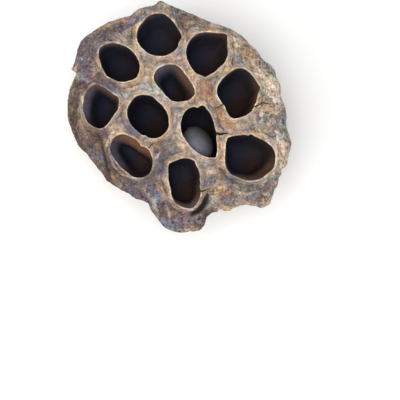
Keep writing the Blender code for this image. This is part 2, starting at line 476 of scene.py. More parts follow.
@dataclass(frozen=True)
class Stain:
    """One patch of a tint: a flat-topped bell over an ellipse.

    Attributes:
        x: its middle, to the right.
        y: its middle, up the photograph.
        length: the ellipse's half length.
        width: its half width.
        turn: direction of its length.
        strength: amount of the tint in the middle.
    """

    x: float
    y: float
    length: float
    width: float
    turn: float
    strength: float

    def amount(self, x: Values, y: Values) -> Values:
        """Strength times exp(-q^3), where q is the distance in the ellipse's own units.

        Args:
            x: plan places to the right.
            y: plan places up the photograph.

        Returns:
            The patch's strength at each place.
        """
        turned = math.radians(self.turn)
        along = (x - self.x) * math.cos(turned) + (y - self.y) * math.sin(turned)
        across = (y - self.y) * math.cos(turned) - (x - self.x) * math.sin(turned)
        return self.strength * np.exp(-(((along / self.length) ** 2 + (across / self.width) ** 2) ** 1.5))


# The eleven pits, traced one by one.
PITS = (
    Pit("top", -8.1, 30.5, 8.5, 8.1, 150, 2.0, 18.0, ((356, 0.7),),
        nicks=((30, -0.75, 30), (342, -0.5, 12), (140, -0.35, 12), (190, 0.3, 20)),
        wear=((0, 0), (60, 0.2), (75, 0.55), (100, 0.8), (115, 0.75), (130, 0.3), (150, 0.15), (180, 0))),
    Pit("upper_right", 10.4, 24.0, 7.9, 7.6, 80, 2.0, 18.5, ((43, 2.9), (265, 1.6)), light=20, glow=0.32,
        nicks=((172, 0.7, 38), (240, 0.7, 14), (312, -0.35, 20)),
        wear=((0, 0.45), (10, 0.5), (20, 0.15), (42, 0), (50, 0.8), (60, 0.6), (80, 0.4), (110, 0.25),
              (130, 0.1), (165, -0.2), (190, -0.1), (220, 0.45), (235, 0.3), (250, 0.5), (270, 0.1),
              (290, 0.3), (320, 0.1), (340, 0.2))),
    Pit("upper_left", -23.5, 19.9, 8.7, 6.5, 140, 2.1, 17.0, ((142, 0.8),), glow=0.06, sky_light=0.9, murk=0.25,
        nicks=((238, 0.45, 24), (176, -0.35, 14), (300, -0.3, 12)),
        wear=((0, 0), (40, 0.15), (80, -0.1), (130, 0), (160, -0.25), (180, -0.35), (210, -0.3), (230, 0),
              (248, -0.25), (270, 0.1), (300, 0.1), (320, 0.3), (345, 0))),
    Pit("middle", -2.2, 11.8, 8.7, 5.7, 146, 2.4, 15.0,
        funnel=0.4, light=30, lit_reach=3.1, glow=0.62, sky_light=0.9, sky_light_side=160,
        nicks=((62, -0.5, 26), (18, 0.2, 12), (112, 0.35, 14), (192, -0.35, 18), (262, 0.45, 16),
               (296, -0.3, 14)),
        wear=((0, -1.15), (10, -1.4), (20, -1.1), (30, -0.7), (40, -0.25), (50, 0.25), (60, 0.7),
              (75, 1.05), (90, 0.85), (100, 0.35), (112, -0.45), (125, -0.75), (140, -0.15), (170, -0.3),
              (200, -0.4), (212, -0.5), (230, 0), (270, 0.2), (290, 0.25), (310, 0), (330, 0.2),
              (342, -0.4), (350, -0.95))),
    Pit("right", 22.6, 8.6, 9.5, 7.6, 92, 2.1, 18.5, ((262, 0.7),),
        funnel=0.1, light=340, lit_reach=3.4, glow=0.34,
        nicks=((172, 1.0, 20), (12, 0.5, 9), (225, -0.4, 9), (250, 0.6, 10), (332, -0.8, 24),
               (55, -0.4, 18), (112, -0.5, 16)),
        wear=((0, 0), (20, 0.4), (35, 0.1), (80, 0.05), (110, -0.2), (125, -0.55), (145, -0.4), (180, 0),
              (190, 0.3), (205, 0), (230, -0.25), (260, 0), (290, -0.2), (320, -0.1), (333, 0.3))),
    Pit("left", -30.6, 3.2, 8.2, 6.3, 98, 2.1, 14.5, ((25, 0.9),),
        funnel=0.26, light=40, lit_reach=2.9, glow=0.66, sky_light=0.95, murk=0.3,
        nicks=((328, -1.1, 18), (298, -0.8, 14), (236, 0.5, 16), (64, -0.8, 26), (16, 0.35, 10),
               (100, 0.3, 8), (136, -0.6, 18)),
        wear=((0, 0.75), (20, 0.3), (45, -0.15), (75, -0.1), (90, -0.4), (105, 0.2), (118, 0.3), (135, 0.7),
              (150, 0.75), (160, 0), (175, 0.3), (200, 0.5), (225, 0.2), (240, -0.05), (255, 0.5),
              (270, 0.7), (285, 0.3), (310, -0.15), (325, 0.4), (340, 0.85))),
    Pit("mid_left", -12.2, -0.8, 8.9, 6.8, 134, 2.3, 18.5, light=350, glow=0.06, sky_light=0.8, murk=0.35,
        nicks=((0, -0.35, 20), (344, -0.4, 14), (210, 0.45, 26), (262, -0.5, 4), (100, 0.25, 8)),
        wear=((0, 0.15), (20, -0.2), (60, -0.3), (80, 0.05), (100, -0.45), (122, -0.15), (145, -0.5),
              (170, -0.2), (220, -0.1), (240, 0.15), (270, 0.3), (290, 0.45), (315, 0.3), (340, 0.2))),
    Pit("seeded", 7.5, -6.8, 9.6, 6.2, 115, 2.0, 18.0, ((302, 2.2), (78, 1.4)), (1.0, -2.6), 1.2,
        glow=0.08, murk=0.5, pocket=2.8,
        nicks=((84, 0.7, 6), (62, 0.55, 12), (95, -0.35, 4), (168, 0.65, 30), (332, -0.8, 20),
               (12, -0.35, 12)),
        wear=((0, 0), (20, -0.1), (35, 0.3), (50, 0.35), (70, 0.2), (100, 0.2), (130, -0.1), (165, -0.35),
              (190, 0.05), (235, -0.2), (280, -0.1), (330, 0.1))),
    Pit("lower_right", 26.4, -16.3, 9.7, 8.6, 165, 2.2, 18.0, ((138, 1.9),), (1.6, -1.0),
        funnel=0.22, light=294, lit_reach=4.8, glow=0.44, sky_light=1.2, sky_light_side=228,
        nicks=((56, -0.5, 22), (84, 0.55, 5), (92, -0.3, 4), (220, 0.55, 22), (314, -0.4, 14)),
        wear=((0, 0.45), (12, 0.4), (25, 0.1), (60, -0.2), (72, -0.3), (90, -0.3), (115, -0.55),
              (138, -0.7), (155, -0.3), (180, -0.6), (205, -0.2), (230, 0), (255, 0.4), (275, 0.4),
              (300, 0.1), (318, 0.2), (335, 0.6))),
    Pit("lower_left", -18.4, -16.1, 9.5, 6.2, 134, 2.1, 14.5,
        funnel=0.45, light=63, lit_reach=4.4, glow=0.94, sky_light=0.66, sky_light_side=180,
        nicks=((58, -0.5, 16), (200, -0.3, 20), (330, -0.35, 14)),
        wear=((0, 0.2), (20, 0.25), (30, -0.1), (45, -0.85), (58, -0.1), (75, -0.35), (95, -0.5),
              (112, 0.1), (140, 0.1), (160, 0.3), (175, 0), (205, -0.2), (220, -0.3), (242, -0.5),
              (260, -0.35), (275, 0.15), (300, 0), (330, 0.15))),
    Pit("bottom", 1.8, -26.1, 9.4, 6.2, 98, 2.4, 16.5, ((64, 0.9),), (-0.8, -1.6),
        funnel=0.14, light=306, lit_reach=3.8, glow=0.34, sky_light=1.2, sky_light_side=245,
        nicks=((56, -0.6, 12), (132, 0.7, 12), (6, -0.35, 12), (346, -0.5, 9), (284, 0.45, 12),
               (206, -0.3, 14)),
        wear=((0, -0.1), (20, 0.05), (55, 0), (75, -0.5), (95, -0.4), (110, -0.6), (130, -0.05),
              (160, -0.2), (180, -0.35), (215, -0.2), (250, -0.1), (275, 0), (292, 0.3), (315, 0),
              (340, -0.3))),
)

# Where the face swells or sinks.
SWELLS = (
    Swell(1, -40, 8, -2.6),
    Swell(8.5, -34, 3.5, -1.6),
    Swell(24, -33, 8, 1.6),
    Swell(40, -14, 7, 1.8),
    Swell(38, 6, 7, 1.4),
    Swell(-7, 44, 5, 1.8),
    Swell(-38, 26, 7, -1.8),
    Swell(-44, 2, 9, -2.6),
    Swell(-33, -22, 9, -4.2),
    Swell(2, 0, 12, 0.8),
)

# Ridges and creases of the face.
FOLDS = (
    Fold(((-31.6, -5.7), (-29.8, -11.2), (-28.4, -18), (-26.7, -23.8), (-21.3, -27.8)), 0.65, -1.3),
    Fold(((4.6, -37.9), (7, -36.6), (9.2, -34.2), (10.6, -30.6)), 0.85, -3.4),
    Fold(((3, 27.4), (5.6, 30.6), (10.2, 31.8), (15.5, 31.5), (18.4, 30.1), (19.3, 26.3), (18.9, 22.8)),
         0.55, 0.75),
    Fold(((-27.1, -9.2), (-27.1, -15.1), (-25.2, -19.7), (-21.7, -23.2), (-17.1, -25), (-13, -24.6)),
         0.6, 0.6),
    Fold(((-10.7, 9.4), (-7.8, 5.9), (-3.7, 3.7), (3.9, 4.1), (6.5, 6.5)), 0.5, 0.5),
    Fold(((-36, 8.5), (-38.3, 4), (-37.6, -1.5), (-34.6, -6)), 0.6, 0.6),
    Fold(((-40.6, 6), (-41.6, -1), (-39.6, -9), (-36, -16)), 0.8, -1),
    Fold(((-33.6, -9), (-32, -15), (-29.4, -21)), 0.7, 0.45),
    Fold(((-13, 38), (-17, 34.6), (-23, 31.6), (-29, 28.6)), 0.7, 0.6),
    Fold(((1.6, -37.4), (6, -36.2), (8.4, -33.6), (10.2, -30.4)), 0.7, 0.9),
    Fold(((28.1, 2.8), (28.7, -2.7), (31.1, -7.1), (35.2, -9.5), (38.3, -13)), 0.9, 0.8),
    Fold(((32, 2.5), (33, -2), (35.5, -6)), 2, -0.6),
    Fold(((29.5, 16.7), (32.6, 14.6), (36.7, 11.9)), 0.9, 0.7),
    Fold(((30.5, 19.5), (34, 18), (37, 16)), 1.1, -0.7),
    Fold(((-3, 3.4), (0.4, 2.5), (4.5, 2.9)), 0.35, -0.45),
    Fold(((-2.2, 4.4), (1, 3.6), (4, 4)), 0.3, -0.3),
    Fold(((8.4, 11.8), (10.4, 9.4), (13, 6.4)), 0.3, -0.3),
    Fold(((-23.4, -2.9), (-20, -4.9), (-15.5, -8.2), (-12, -9.4)), 1, -0.8),
    Fold(((-9, -12.5), (-7.6, -16.5), (-7.1, -22)), 1.2, -0.7),
    Fold(((15, -31), (20, -29.5), (26, -30.5), (31, -29)), 1, 0.7),
    Fold(((13.5, -34.5), (19, -33.5), (24, -35)), 1.2, -0.9),
    Fold(((-16, 26), (-19, 30.5), (-24, 34)), 1.2, -0.6),
    Fold(((2.5, 34.5), (3, 30.5), (1.6, 26)), 1.1, -0.6),
    Fold(((-32.5, 15), (-36, 13), (-40.5, 12.5)), 1, -0.7),
    Fold(((-36.5, 8), (-39.2, 2), (-38.2, -4)), 0.9, 0.5),
    Fold(((-14.5, -27.5), (-10, -33), (-8, -39.5)), 1.2, 0.8),
    Fold(((-6, -33), (-4, -38), (-3.5, -43)), 1, 0.6),
    Fold(((36, -18), (38.5, -22), (37, -27)), 1.1, 0.7),
)

# Splits that start at the mouths.
CRACKS = (
    Crack(((11.8, -7.1), (13.6, -7.3), (15.4, -7.6), (16.4, -7.4), (18.4, -7.1)), 0.85, -2.2),
    Crack(((26.6, 2.4), (28.2, 3.0), (29.9, 3.5), (31.5, 4.8), (34.6, 4.2)), 0.32, -1.2),
    Crack(((18.2, 4.8), (17.0, 4.1), (15.1, 2.8), (13.0, 2.3)), 0.32, -1.0),
    Crack(((-13.8, -15.0), (-12.4, -13.5), (-11.5, -12.6), (-10.2, -11.0)), 0.26, -1.1),
    Crack(((6.4, -28.6), (7.6, -29.0), (8.6, -29.5), (10.8, -28.6)), 0.42, -1.4),
    Crack(((26.4, -9.4), (27.2, -8.2), (28.0, -7.8)), 0.42, -0.9),
)

# The stains of each tint, as (x, y, length, width, turn, strength) of an ellipse, placed one by one.
STAINS = {
    Tint.BLOOM: (
        (-38.6, 21.4, 4.6, 1.5, 98, 1), (-37.4, 15, 2.6, 1.8, 100, 0.8), (-34, 12.6, 3, 1.4, 160, 0.7),
        (-27, 10.8, 5.4, 1.3, 152, 0.6), (-9.8, -33.6, 5, 1.7, 70, 0.9), (-6.6, -40, 4.6, 2, 128, 0.7),
        (1, -40.8, 6, 2.2, 5, 0.6), (30.6, -30, 3.6, 2.2, 60, 0.8), (20, -33, 6.4, 1.4, 5, 0.6),
        (14.9, -4.6, 2.2, 0.6, 118, 1), (-17.6, -6.6, 5, 1.5, 150, 0.7), (-24.6, -1.6, 4, 1.6, 120, 0.5),
        (30.6, 24.2, 3, 1, 128, 1), (40.4, 0.4, 5, 0.9, 96, 0.9), (3.4, 17.6, 3.4, 1.6, 60, 0.45),
        (-31, 29, 4, 1.6, 30, 0.5), (12.6, 14, 3.4, 1.2, 50, 0.4), (-17, 37.4, 5, 1.2, 25, 0.5),
        (-29.6, -15.6, 2.4, 1.4, 115, 0.6), (-8, -42, 5, 2.4, 150, 0.8), (10.4, -34, 3, 2, 60, 0.6),
        (-13.6, 39.6, 5, 1.6, 20, 0.6), (36.6, -24, 4, 1.6, 60, 0.8), (-33, -14.6, 3, 2.2, 115, 0.45),
    ),
    Tint.OCHRE: (
        (10.6, 9.4, 7, 2.8, 124, 1), (15.4, 1.6, 6, 2.6, 118, 1), (18.4, -3.8, 3.6, 2, 140, 0.9),
        (-38, -3.4, 5, 0.9, 112, 0.6), (-34.4, -9, 3, 1, 140, 0.4), (-7, -29.8, 4.6, 1.7, 108, 0.9),
        (-2, -36.6, 4, 1.3, 20, 0.55), (7.6, -37.6, 3.4, 1.2, 50, 0.7), (-14.4, 13.6, 4.6, 1.3, 128, 0.55),
        (-32.4, 19.6, 4, 1.4, 70, 0.55), (-27, -9.8, 3.6, 1.8, 15, 0.55), (21.6, 26.8, 3.6, 1.2, 118, 0.5),
        (27.4, 18, 4.4, 1.2, 150, 0.6), (17, -13, 4, 1.2, 95, 0.4), (0.6, -16, 4.6, 1.8, 140, 0.55),
        (15.6, -28.8, 5, 1.6, 170, 0.7), (-24.8, -24.6, 3.4, 1.6, 120, 0.6), (2.6, 26, 4, 1.2, 70, 0.5),
        (-3.4, 19.2, 4, 1, 160, 0.5), (10.8, 12.8, 3.4, 2, 62, 0.5), (12.8, 7.2, 4.2, 1.5, 122, 0.8),
        (16, 1.4, 4.2, 1.3, 112, 0.8),
    ),
    Tint.MAUVE: (
        (-32, 27, 9, 5, 45, 0.9), (-38, 29, 6, 5, 45, 1), (-24, 33.6, 8, 3, 28, 0.8),
        (-37, 18, 9, 4, 95, 0.8), (3.6, 36.6, 6, 3.6, 150, 0.9), (2.6, 41.6, 4, 2, 120, 0.6),
        (13, 34.6, 4, 1.6, 160, 0.5), (23.6, 22.6, 4, 2.4, 60, 0.6), (36, -2.6, 6, 3.4, 105, 0.45),
        (30.6, -3, 4, 2, 80, 0.45), (-4, -12.6, 6, 3.6, 128, 0.85), (-16.4, -7.4, 8, 3, 140, 0.75),
        (-28.4, -3, 4.4, 2.4, 30, 0.5), (-9, -22, 7, 4.6, 80, 0.9), (25, -29.4, 10, 4.6, 172, 0.9),
        (11.6, -25, 6, 4.4, 70, 0.75), (-15, -29.4, 8, 5, 150, 1), (-2, -39.6, 12, 5.6, 0, 1),
        (6, -36, 6, 4, 50, 0.8), (-30.6, -12.6, 8, 6, 110, 0.55), (36, -25, 5, 3, 60, 0.7),
        (-26, 11, 8, 2.4, 155, 0.8), (-17, 38, 8, 4, 25, 0.55), (0.6, 40, 5, 4, 120, 0.8),
        (1, -35.6, 6, 2.6, 0, 0.7), (-18, -4.6, 5, 2.4, 150, 0.6), (-9, -33, 6, 5, 90, 0.9),
        (1, 31.6, 4, 3, 90, 0.6), (-8.4, -14.2, 4.2, 2.4, 132, 0.5), (-6.2, -12.8, 3.6, 2.2, 140, 0.6),
        (28.2, 22.6, 3.6, 1.6, 122, 0.4), (-7.2, -6, 3.2, 1.2, 122, 0.4),
    ),
    Tint.SLATE: (
        (14.5, -3.5, 2.2, 0.55, 116, 1.6), (13, -2.6, 0.9, 0.5, 110, 0.9), (-7.4, -19.6, 4.2, 2, 65, 1),
        (-9.6, -22.4, 3.4, 2, 20, 1), (-9.4, -11.6, 3, 1.4, 150, 0.7), (37.3, 2.9, 1.1, 0.9, 0, 1),
        (9.2, -35, 2.8, 1.3, 52, 1), (20.8, 32, 3.4, 0.9, 150, 1), (-30.2, 30.6, 2.4, 0.9, 30, 0.9),
        (-38.4, 25.6, 3.6, 1.4, 55, 0.8), (36.6, 16.2, 3, 0.7, 120, 0.8), (25, -27, 4, 1.6, 10, 0.5),
        (-20.6, -31.4, 5, 1.6, 150, 0.6), (-6, 38.4, 4, 1.4, 170, 0.4), (-9.2, -35.4, 5.4, 1.9, 64, 0.5),
        (-17.4, -31.2, 5.6, 1.5, 152, 0.4), (-7.4, -41.6, 4.4, 1.8, 152, 0.8),
        (27.4, -24, 4.6, 1.5, 162, 0.75), (19.4, -32.8, 4.6, 1.2, 172, 0.45), (8.2, -35, 2.8, 1.1, 62, 1.3),
        (-7.4, -21.2, 4.4, 1.6, 36, 0.8), (-35.6, -5.8, 3.8, 1.6, 112, 0.5),
    ),
    Tint.CREAM: (
        (37, -21, 4, 2, 80, 0.4), (-16.8, 23, 4, 2, 130, 0.4), (28.4, 13.8, 3, 2.4, 120, 0.5),
        (1, -4.6, 2, 4, 0, 0.4), (32, 13.6, 6, 3.8, 125, 1), (36.6, 11, 6.4, 3.4, 115, 1),
        (36, 5.6, 3, 1.6, 100, 0.25), (10, 31.6, 6, 1.6, 170, 0.5), (21, 30.4, 4, 2, 130, 0.9),
        (-8.6, 6, 4, 1.4, 120, 0.4), (36, 0.6, 3, 2, 90, 0.4), (29.6, 18.6, 3, 1.2, 150, 0.5),
        (30.2, 0.6, 4.6, 0.9, 95, 0.85), (38, -14, 8, 3, 95, 1), (20.6, 16.6, 5, 1.1, 55, 0.4),
        (11, -21.2, 4.4, 1.1, 160, 0.55), (1.6, -12.4, 4.6, 0.9, 128, 0.6), (16.6, -14.6, 5.4, 1, 92, 0.9),
        (-16, 24.4, 5, 1.1, 130, 0.55), (-14, 8.6, 6, 1.3, 165, 0.6), (-8, 8.6, 5, 0.8, 130, 0.6),
        (4.6, 3.6, 2, 0.6, 175, 0.9), (-9, -15.6, 1.4, 0.6, 30, 0.9), (-10.2, -12.6, 1.6, 0.4, 130, 0.8),
        (-40.4, 17.2, 1.2, 0.5, 10, 1), (-6, 41, 3, 1.2, 110, 0.4), (18.6, 27.6, 4.6, 0.9, 100, 0.5),
        (31, -26.8, 5, 0.6, 30, 0.6), (32.6, -31, 3, 0.5, 60, 0.7), (-1.9, -3.2, 4.6, 1.3, 95, 0.9),
        (-12.4, 9.2, 4.6, 1.4, 165, 0.5), (-24.6, -7.6, 5, 1.8, 43, 0.6), (-27.6, -12, 3.6, 1, 75, 0.6),
        (-23.4, 5.4, 3.4, 1.2, 118, 0.5), (-6.6, 4.4, 3.6, 1.2, 148, 0.5), (1.2, -6, 4.6, 1.5, 96, 0.8),
        (-15.8, 22.8, 4.4, 1.4, 62, 0.8), (-19.4, 6.4, 4.6, 1.7, 152, 0.7), (28.8, 14.6, 3.2, 1.4, 122, 0.4),
    ),
    # Painted shade along the sagging left and lower margins and in some creases, not stains.
    Tint.DUSK: (
        (0.4, 2.2, 2.4, 0.32, 12, 0.7), (-27.6, 12.4, 7, 3, 150, 1), (-35.6, -12, 10, 5, 105, 1),
        (-34, -4, 6, 3.4, 100, 0.8), (-9.6, -33.6, 7, 4.6, 80, 0.8), (-18.6, -31, 7, 3, 150, 0.7),
        (18, -31.6, 6, 2, 170, 0.6), (-17, -5.4, 5, 2.4, 150, 0.5), (-36, 12, 4, 3.4, 100, 0.6),
        (-7.6, -15.6, 4, 2.6, 90, 0.6), (-26, -14, 4, 3, 90, 0.6), (10, 13, 3.6, 1.6, 120, 0.5),
        (-8, -41, 7, 3, 150, 0.6), (9, -40, 6, 3.4, 50, 0.8), (-32, -8.3, 3, 2.4, 120, 0.9),
        (-36.6, -15, 8, 4, 115, 0.6), (-40, 2, 14, 5, 98, 1), (-35.6, -6.6, 7, 4.4, 110, 1),
        (-35, -13.6, 11, 5, 118, 1), (-27, -25, 9, 6, 130, 1), (-18, -28, 9, 4, 155, 0.9),
        (-26.6, -13.4, 6, 2.4, 105, 0.7), (-32, -6.6, 5, 3, 150, 0.7), (-36, 26, 7, 3.4, 55, 0.6),
        (1.8, 33.6, 3.4, 1.6, 100, 0.6), (10.4, -40, 4, 2.4, 50, 0.7), (-10, -27, 6, 4, 90, 0.7),
        (19.6, -24, 7, 2.8, 165, 0.8), (10.6, 12.6, 3.4, 0.7, 128, 0.6), (38.4, 12.6, 3, 0.8, 110, 0.6),
        (-34.2, 30.2, 7, 1.5, 40, 0.9), (-17.8, 30.2, 4.4, 1.8, 22, 0.8), (8.4, -35, 2.8, 1.3, 62, 0.9),
        (10.2, 12.6, 3.6, 1.8, 60, 0.55),
    ),
    Tint.RUST: (
        (-27, -7.6, 4, 2, 60, 0.4), (19, -31.4, 5.4, 1.4, 172, 0.75), (-31.4, 11.6, 4, 1.1, 25, 0.5),
        (-35, -15.4, 1.2, 0.7, 140, 1), (2, 36, 3.4, 1.6, 60, 0.75), (-15, 32.6, 4.6, 1.6, 20, 0.9),
        (-33, 22.6, 4, 1.2, 75, 0.5), (38, -5.6, 3.6, 1.4, 100, 0.4), (2.4, -17.6, 4, 1.4, 140, 0.5),
        (24.6, 21, 3, 1, 60, 0.6), (-22.6, -9, 4, 1.2, 40, 0.6), (-25.6, -8.6, 4.6, 1.2, 43, 0.5),
    ),
}


@dataclass(frozen=True)
class Face:
    """The pitted face as a height over the plan.

    Attributes:
        rim: the outline that shares of the way out are taken from.
        height_at_middle: height of the smooth face over the origin.
        crown_drop: how much lower the dome is at the rim than in the middle.
        roll_drop: how far the face rolls down at the very rim.
        roll_power: how late it starts to roll.
        lip_rise: height of the lip round a mouth.
        lip_offset: how far outside the mouth's edge the lip's crest lies.
        lip_width: spread of the crest.
        collar_reach: how far the collar round the crest takes to fall to a third.
    """

    rim: RimOutline = RimOutline()
    height_at_middle: float = 43.0
    crown_drop: float = 1.2
    roll_drop: float = 5.0
    roll_power: int = 8
    lip_rise: float = 0.95
    lip_offset: float = 0.5
    lip_width: float = 0.6
    collar_reach: float = 2.1

    def base(self, x: Values, y: Values) -> Values:
        """Smooth height: the middle's, less crown_drop s^2 and roll_drop s^8 at the share s of the way out.

        The swells are added to it.

        Args:
            x: plan places to the right.
            y: plan places up the photograph.

        Returns:
            The height at each place.
        """
        share = self.rim.share(x, y)
        height = self.height_at_middle - self.crown_drop * share**2 - self.roll_drop * share**self.roll_power
        for swell in SWELLS:
            height = height + swell.height(x, y)
        return height

    def gaps(self, x: Values, y: Values) -> Values:
        """Distance outside each pit's mouth, one row for each pit."""
        return np.stack([pit.gap(x, y) for pit in PITS])

    def lips(self, gaps: Values, x: Values, y: Values) -> Values:
        """Height of the lips: a narrow crest on a wide collar round every mouth, joined by a cube norm.

        Args:
            gaps: distances outside the mouths, one row for each pit.
            x: plan places to the right.
            y: plan places up the photograph.

        Returns:
            Heights above the smooth face.
        """
        spots = on_plan(x, y)
        uneven = 1.0 + 0.22 * Grain(11).value(spots, 3.1) + 0.12 * Grain(12).value(spots, 1.3)
        crest = bell(gaps - self.lip_offset, self.lip_width)
        collar = np.exp(-np.clip(gaps - self.lip_offset, 0.0, None) / self.collar_reach)
        collar = collar * np.where(gaps < self.lip_offset, bell(gaps - self.lip_offset, 1.4), 1.0)
        single = self.lip_rise * (0.56 * crest + 0.44 * collar)
        return np.cbrt(np.sum(single**3, axis=0)) * uneven

    def flow(self, gaps: Values, x: Values, y: Values) -> Values:
        """Fibre coordinate: the soft least distance to a lip, or to the rim, so that fibres run along both.

        The soft least is -w ln(sum of exp(-distance / w)), where w is the softness. A slant across the face
        is added.

        Args:
            gaps: distances outside the mouths, one row for each pit.
            x: plan places to the right.
            y: plan places up the photograph.

        Returns:
            The coordinate across the fibres.
        """
        softness = 1.2
        to_rim = (1.0 - self.rim.share(x, y)) * self.rim.mean_radius
        every = np.concatenate([np.clip(gaps, 0.0, None), to_rim[None] * 0.8])
        return -np.log(np.sum(np.exp(-every / softness), axis=0)) * softness + 0.28 * x - 0.2 * y

    def relief(self, x: Values, y: Values, gaps: Values) -> Values:
        """Fine relief of the face: wrinkles along the fibres, radial pleats at the rim, lumps and grain.

        Args:
            x: plan places to the right.
            y: plan places up the photograph.
            gaps: distances outside the mouths, one row for each pit.

        Returns:
            Heights above and below the smooth face, in millimetres.
        """
        nearest = gaps.min(axis=0)
        share = self.rim.share(x, y)
        open_face = eased(nearest, 0.3, 1.8)
        flat = on_plan(x, y)
        bent = self.flow(gaps, x, y) + 0.4 * Grain(27).value(flat, 3.0)
        loose = eased(nearest, 1.4, 4.4)
        along = np.stack([x / 6.5, y / 6.5, bent / 1.1], axis=-1)
        level = 0.42 * (Grain(21).ridged(along, 1.0) - 0.52) * open_face * (1.0 - 0.5 * loose)
        level = level + 0.26 * Grain(28).fractal(flat, 1.9, 3) * loose
        hairs = np.stack([x / 1.5, y / 1.5, bent / 0.5], axis=-1)
        level = level + 0.12 * (Grain(26).ridged(hairs, 1.0, 2) - 0.5) * open_face
        across = np.stack([x / 1.5, y / 1.5, share * self.rim.mean_radius / 6.0 + 0.2 * bent], axis=-1)
        level = level + 0.36 * (Grain(22).ridged(across, 1.0) - 0.5) * eased(share, 0.78, 0.95) * open_face
        level = level + 0.36 * Grain(23).fractal(flat, 4.6, 3) * open_face
        return level + 0.12 * Grain(24).fractal(flat, 1.1, 3) * (0.35 + 0.65 * open_face)

    def height(self, x: Values, y: Values) -> Values:
        """Height of the face: base, lips, folds, relief and the waves of the rim, less the cracks.

        Args:
            x: plan places to the right.
            y: plan places up the photograph.

        Returns:
            The height at each place.
        """
        gaps = self.gaps(x, y)
        nearest = gaps.min(axis=0)
        level = self.base(x, y) + self.lips(gaps, x, y) + self.relief(x, y, gaps)
        for fold in FOLDS:
            level = level + fold.height(x, y) * eased(nearest, 0.2, 1.6)
        level = level + 0.75 * Grain(25).value(on_plan(x, y), 7.0) * eased(self.rim.share(x, y), 0.86, 1.0)
        for crack in CRACKS:
            level = level + crack.rise * crack.opening(x, y) * eased(nearest, -0.9, 0.1)
        return level


@dataclass
class Patch:
    """A part of the skin before it is sewn.

    Attributes:
        points: its points, in millimetres.
        quads: faces of four points, by number.
        triangles: faces of three points, by number.
        values: what its finish reads at the points, by name.
        fibre: fibre coordinates of the points.
    """

    points: Values
    quads: Values
    triangles: Values
    values: dict[str, Values]
    fibre: Values


def grid_faces(rows: int, columns: int) -> Values:
    """Corner numbers of the quads of a closed grid, row by row, that face up where rows run inwards.

    Args:
        rows: how many rows of points.
        columns: how many points in a row; the last joins the first.

    Returns:
        An (n, 4) array of point numbers.
    """
    row = np.arange(rows - 1)[:, None] * columns
    column = np.arange(columns)[None, :]
    beside = (column + 1) % columns
    below = row + columns
    return np.stack([row + column, row + beside, below + beside, below + column], axis=-1).reshape(-1, 4)


def fan_faces(rows: int, columns: int) -> Values:
    """Corner numbers of the triangles that close a grid's last row on the one point that follows it.

    Args:
        rows: how many rows of points.
        columns: how many points in a row.

    Returns:
        An (n, 3) array of point numbers.
    """
    last = (rows - 1) * columns
    column = np.arange(columns)
    return np.stack([last + column, last + (column + 1) % columns, np.full(columns, rows * columns)], axis=-1)


def fade_face_values(values: dict[str, Values], others: Sequence[str], gone: Values) -> None:
    """Fades the tints of the face and some further values out.

    Args:
        values: the finish values, which are changed.
        others: names of the further values.
        gone: from 0, where they stay, to 1.
    """
    for key in [tint.value for tint in Tint] + list(others):
        values[key] = values[key] * (1.0 - gone)


def sewn_mesh(name: str, patches: Sequence[Patch], weld: float = 0.002) -> bpy.types.Mesh:
    """Joins patches into one closed mesh, welding the rings that they share.

    Args:
        name: the mesh's name.
        patches: the patches, in millimetres.
        weld: distance, in millimetres, under which points become one.

    Returns:
        The mesh, in metres, with every patch value as a point attribute.
    """
    starts = np.cumsum([0] + [len(patch.points) for patch in patches])
    faces: list = []
    for patch, start in zip(patches, starts):
        faces += (patch.quads + start).tolist() + (patch.triangles + start).tolist()
    points = placed(np.concatenate([patch.points for patch in patches]))
    mesh = bpy.data.meshes.new(name)
    mesh.from_pydata(points.tolist(), [], faces)
    for key in sorted({key for patch in patches for key in patch.values}):
        joined = [patch.values.get(key, np.zeros(len(patch.points))) for patch in patches]
        layer = mesh.attributes.new(key, "FLOAT", "POINT")
        layer.data.foreach_set("value", np.concatenate(joined).astype(np.float32))
    fibres = mesh.attributes.new("fibre", "FLOAT_VECTOR", "POINT")
    joined = np.concatenate([patch.fibre for patch in patches])
    fibres.data.foreach_set("vector", joined.astype(np.float32).ravel())
    work = bmesh.new()
    work.from_mesh(mesh)
    bmesh.ops.remove_doubles(work, verts=work.verts, dist=weld * MM)
    bmesh.ops.dissolve_degenerate(work, edges=work.edges, dist=weld * MM * 0.1)
    open_edges = sum(1 for edge in work.edges if len(edge.link_faces) != 2)
    bmesh.ops.recalc_face_normals(work, faces=work.faces)
    work.to_mesh(mesh)
    work.free()
    mesh.shade_smooth()
    counts = (len(mesh.vertices), len(mesh.polygons), open_edges)
    log.info("%s: %d points, %d faces, %d open edges", name, *counts)
    return mesh


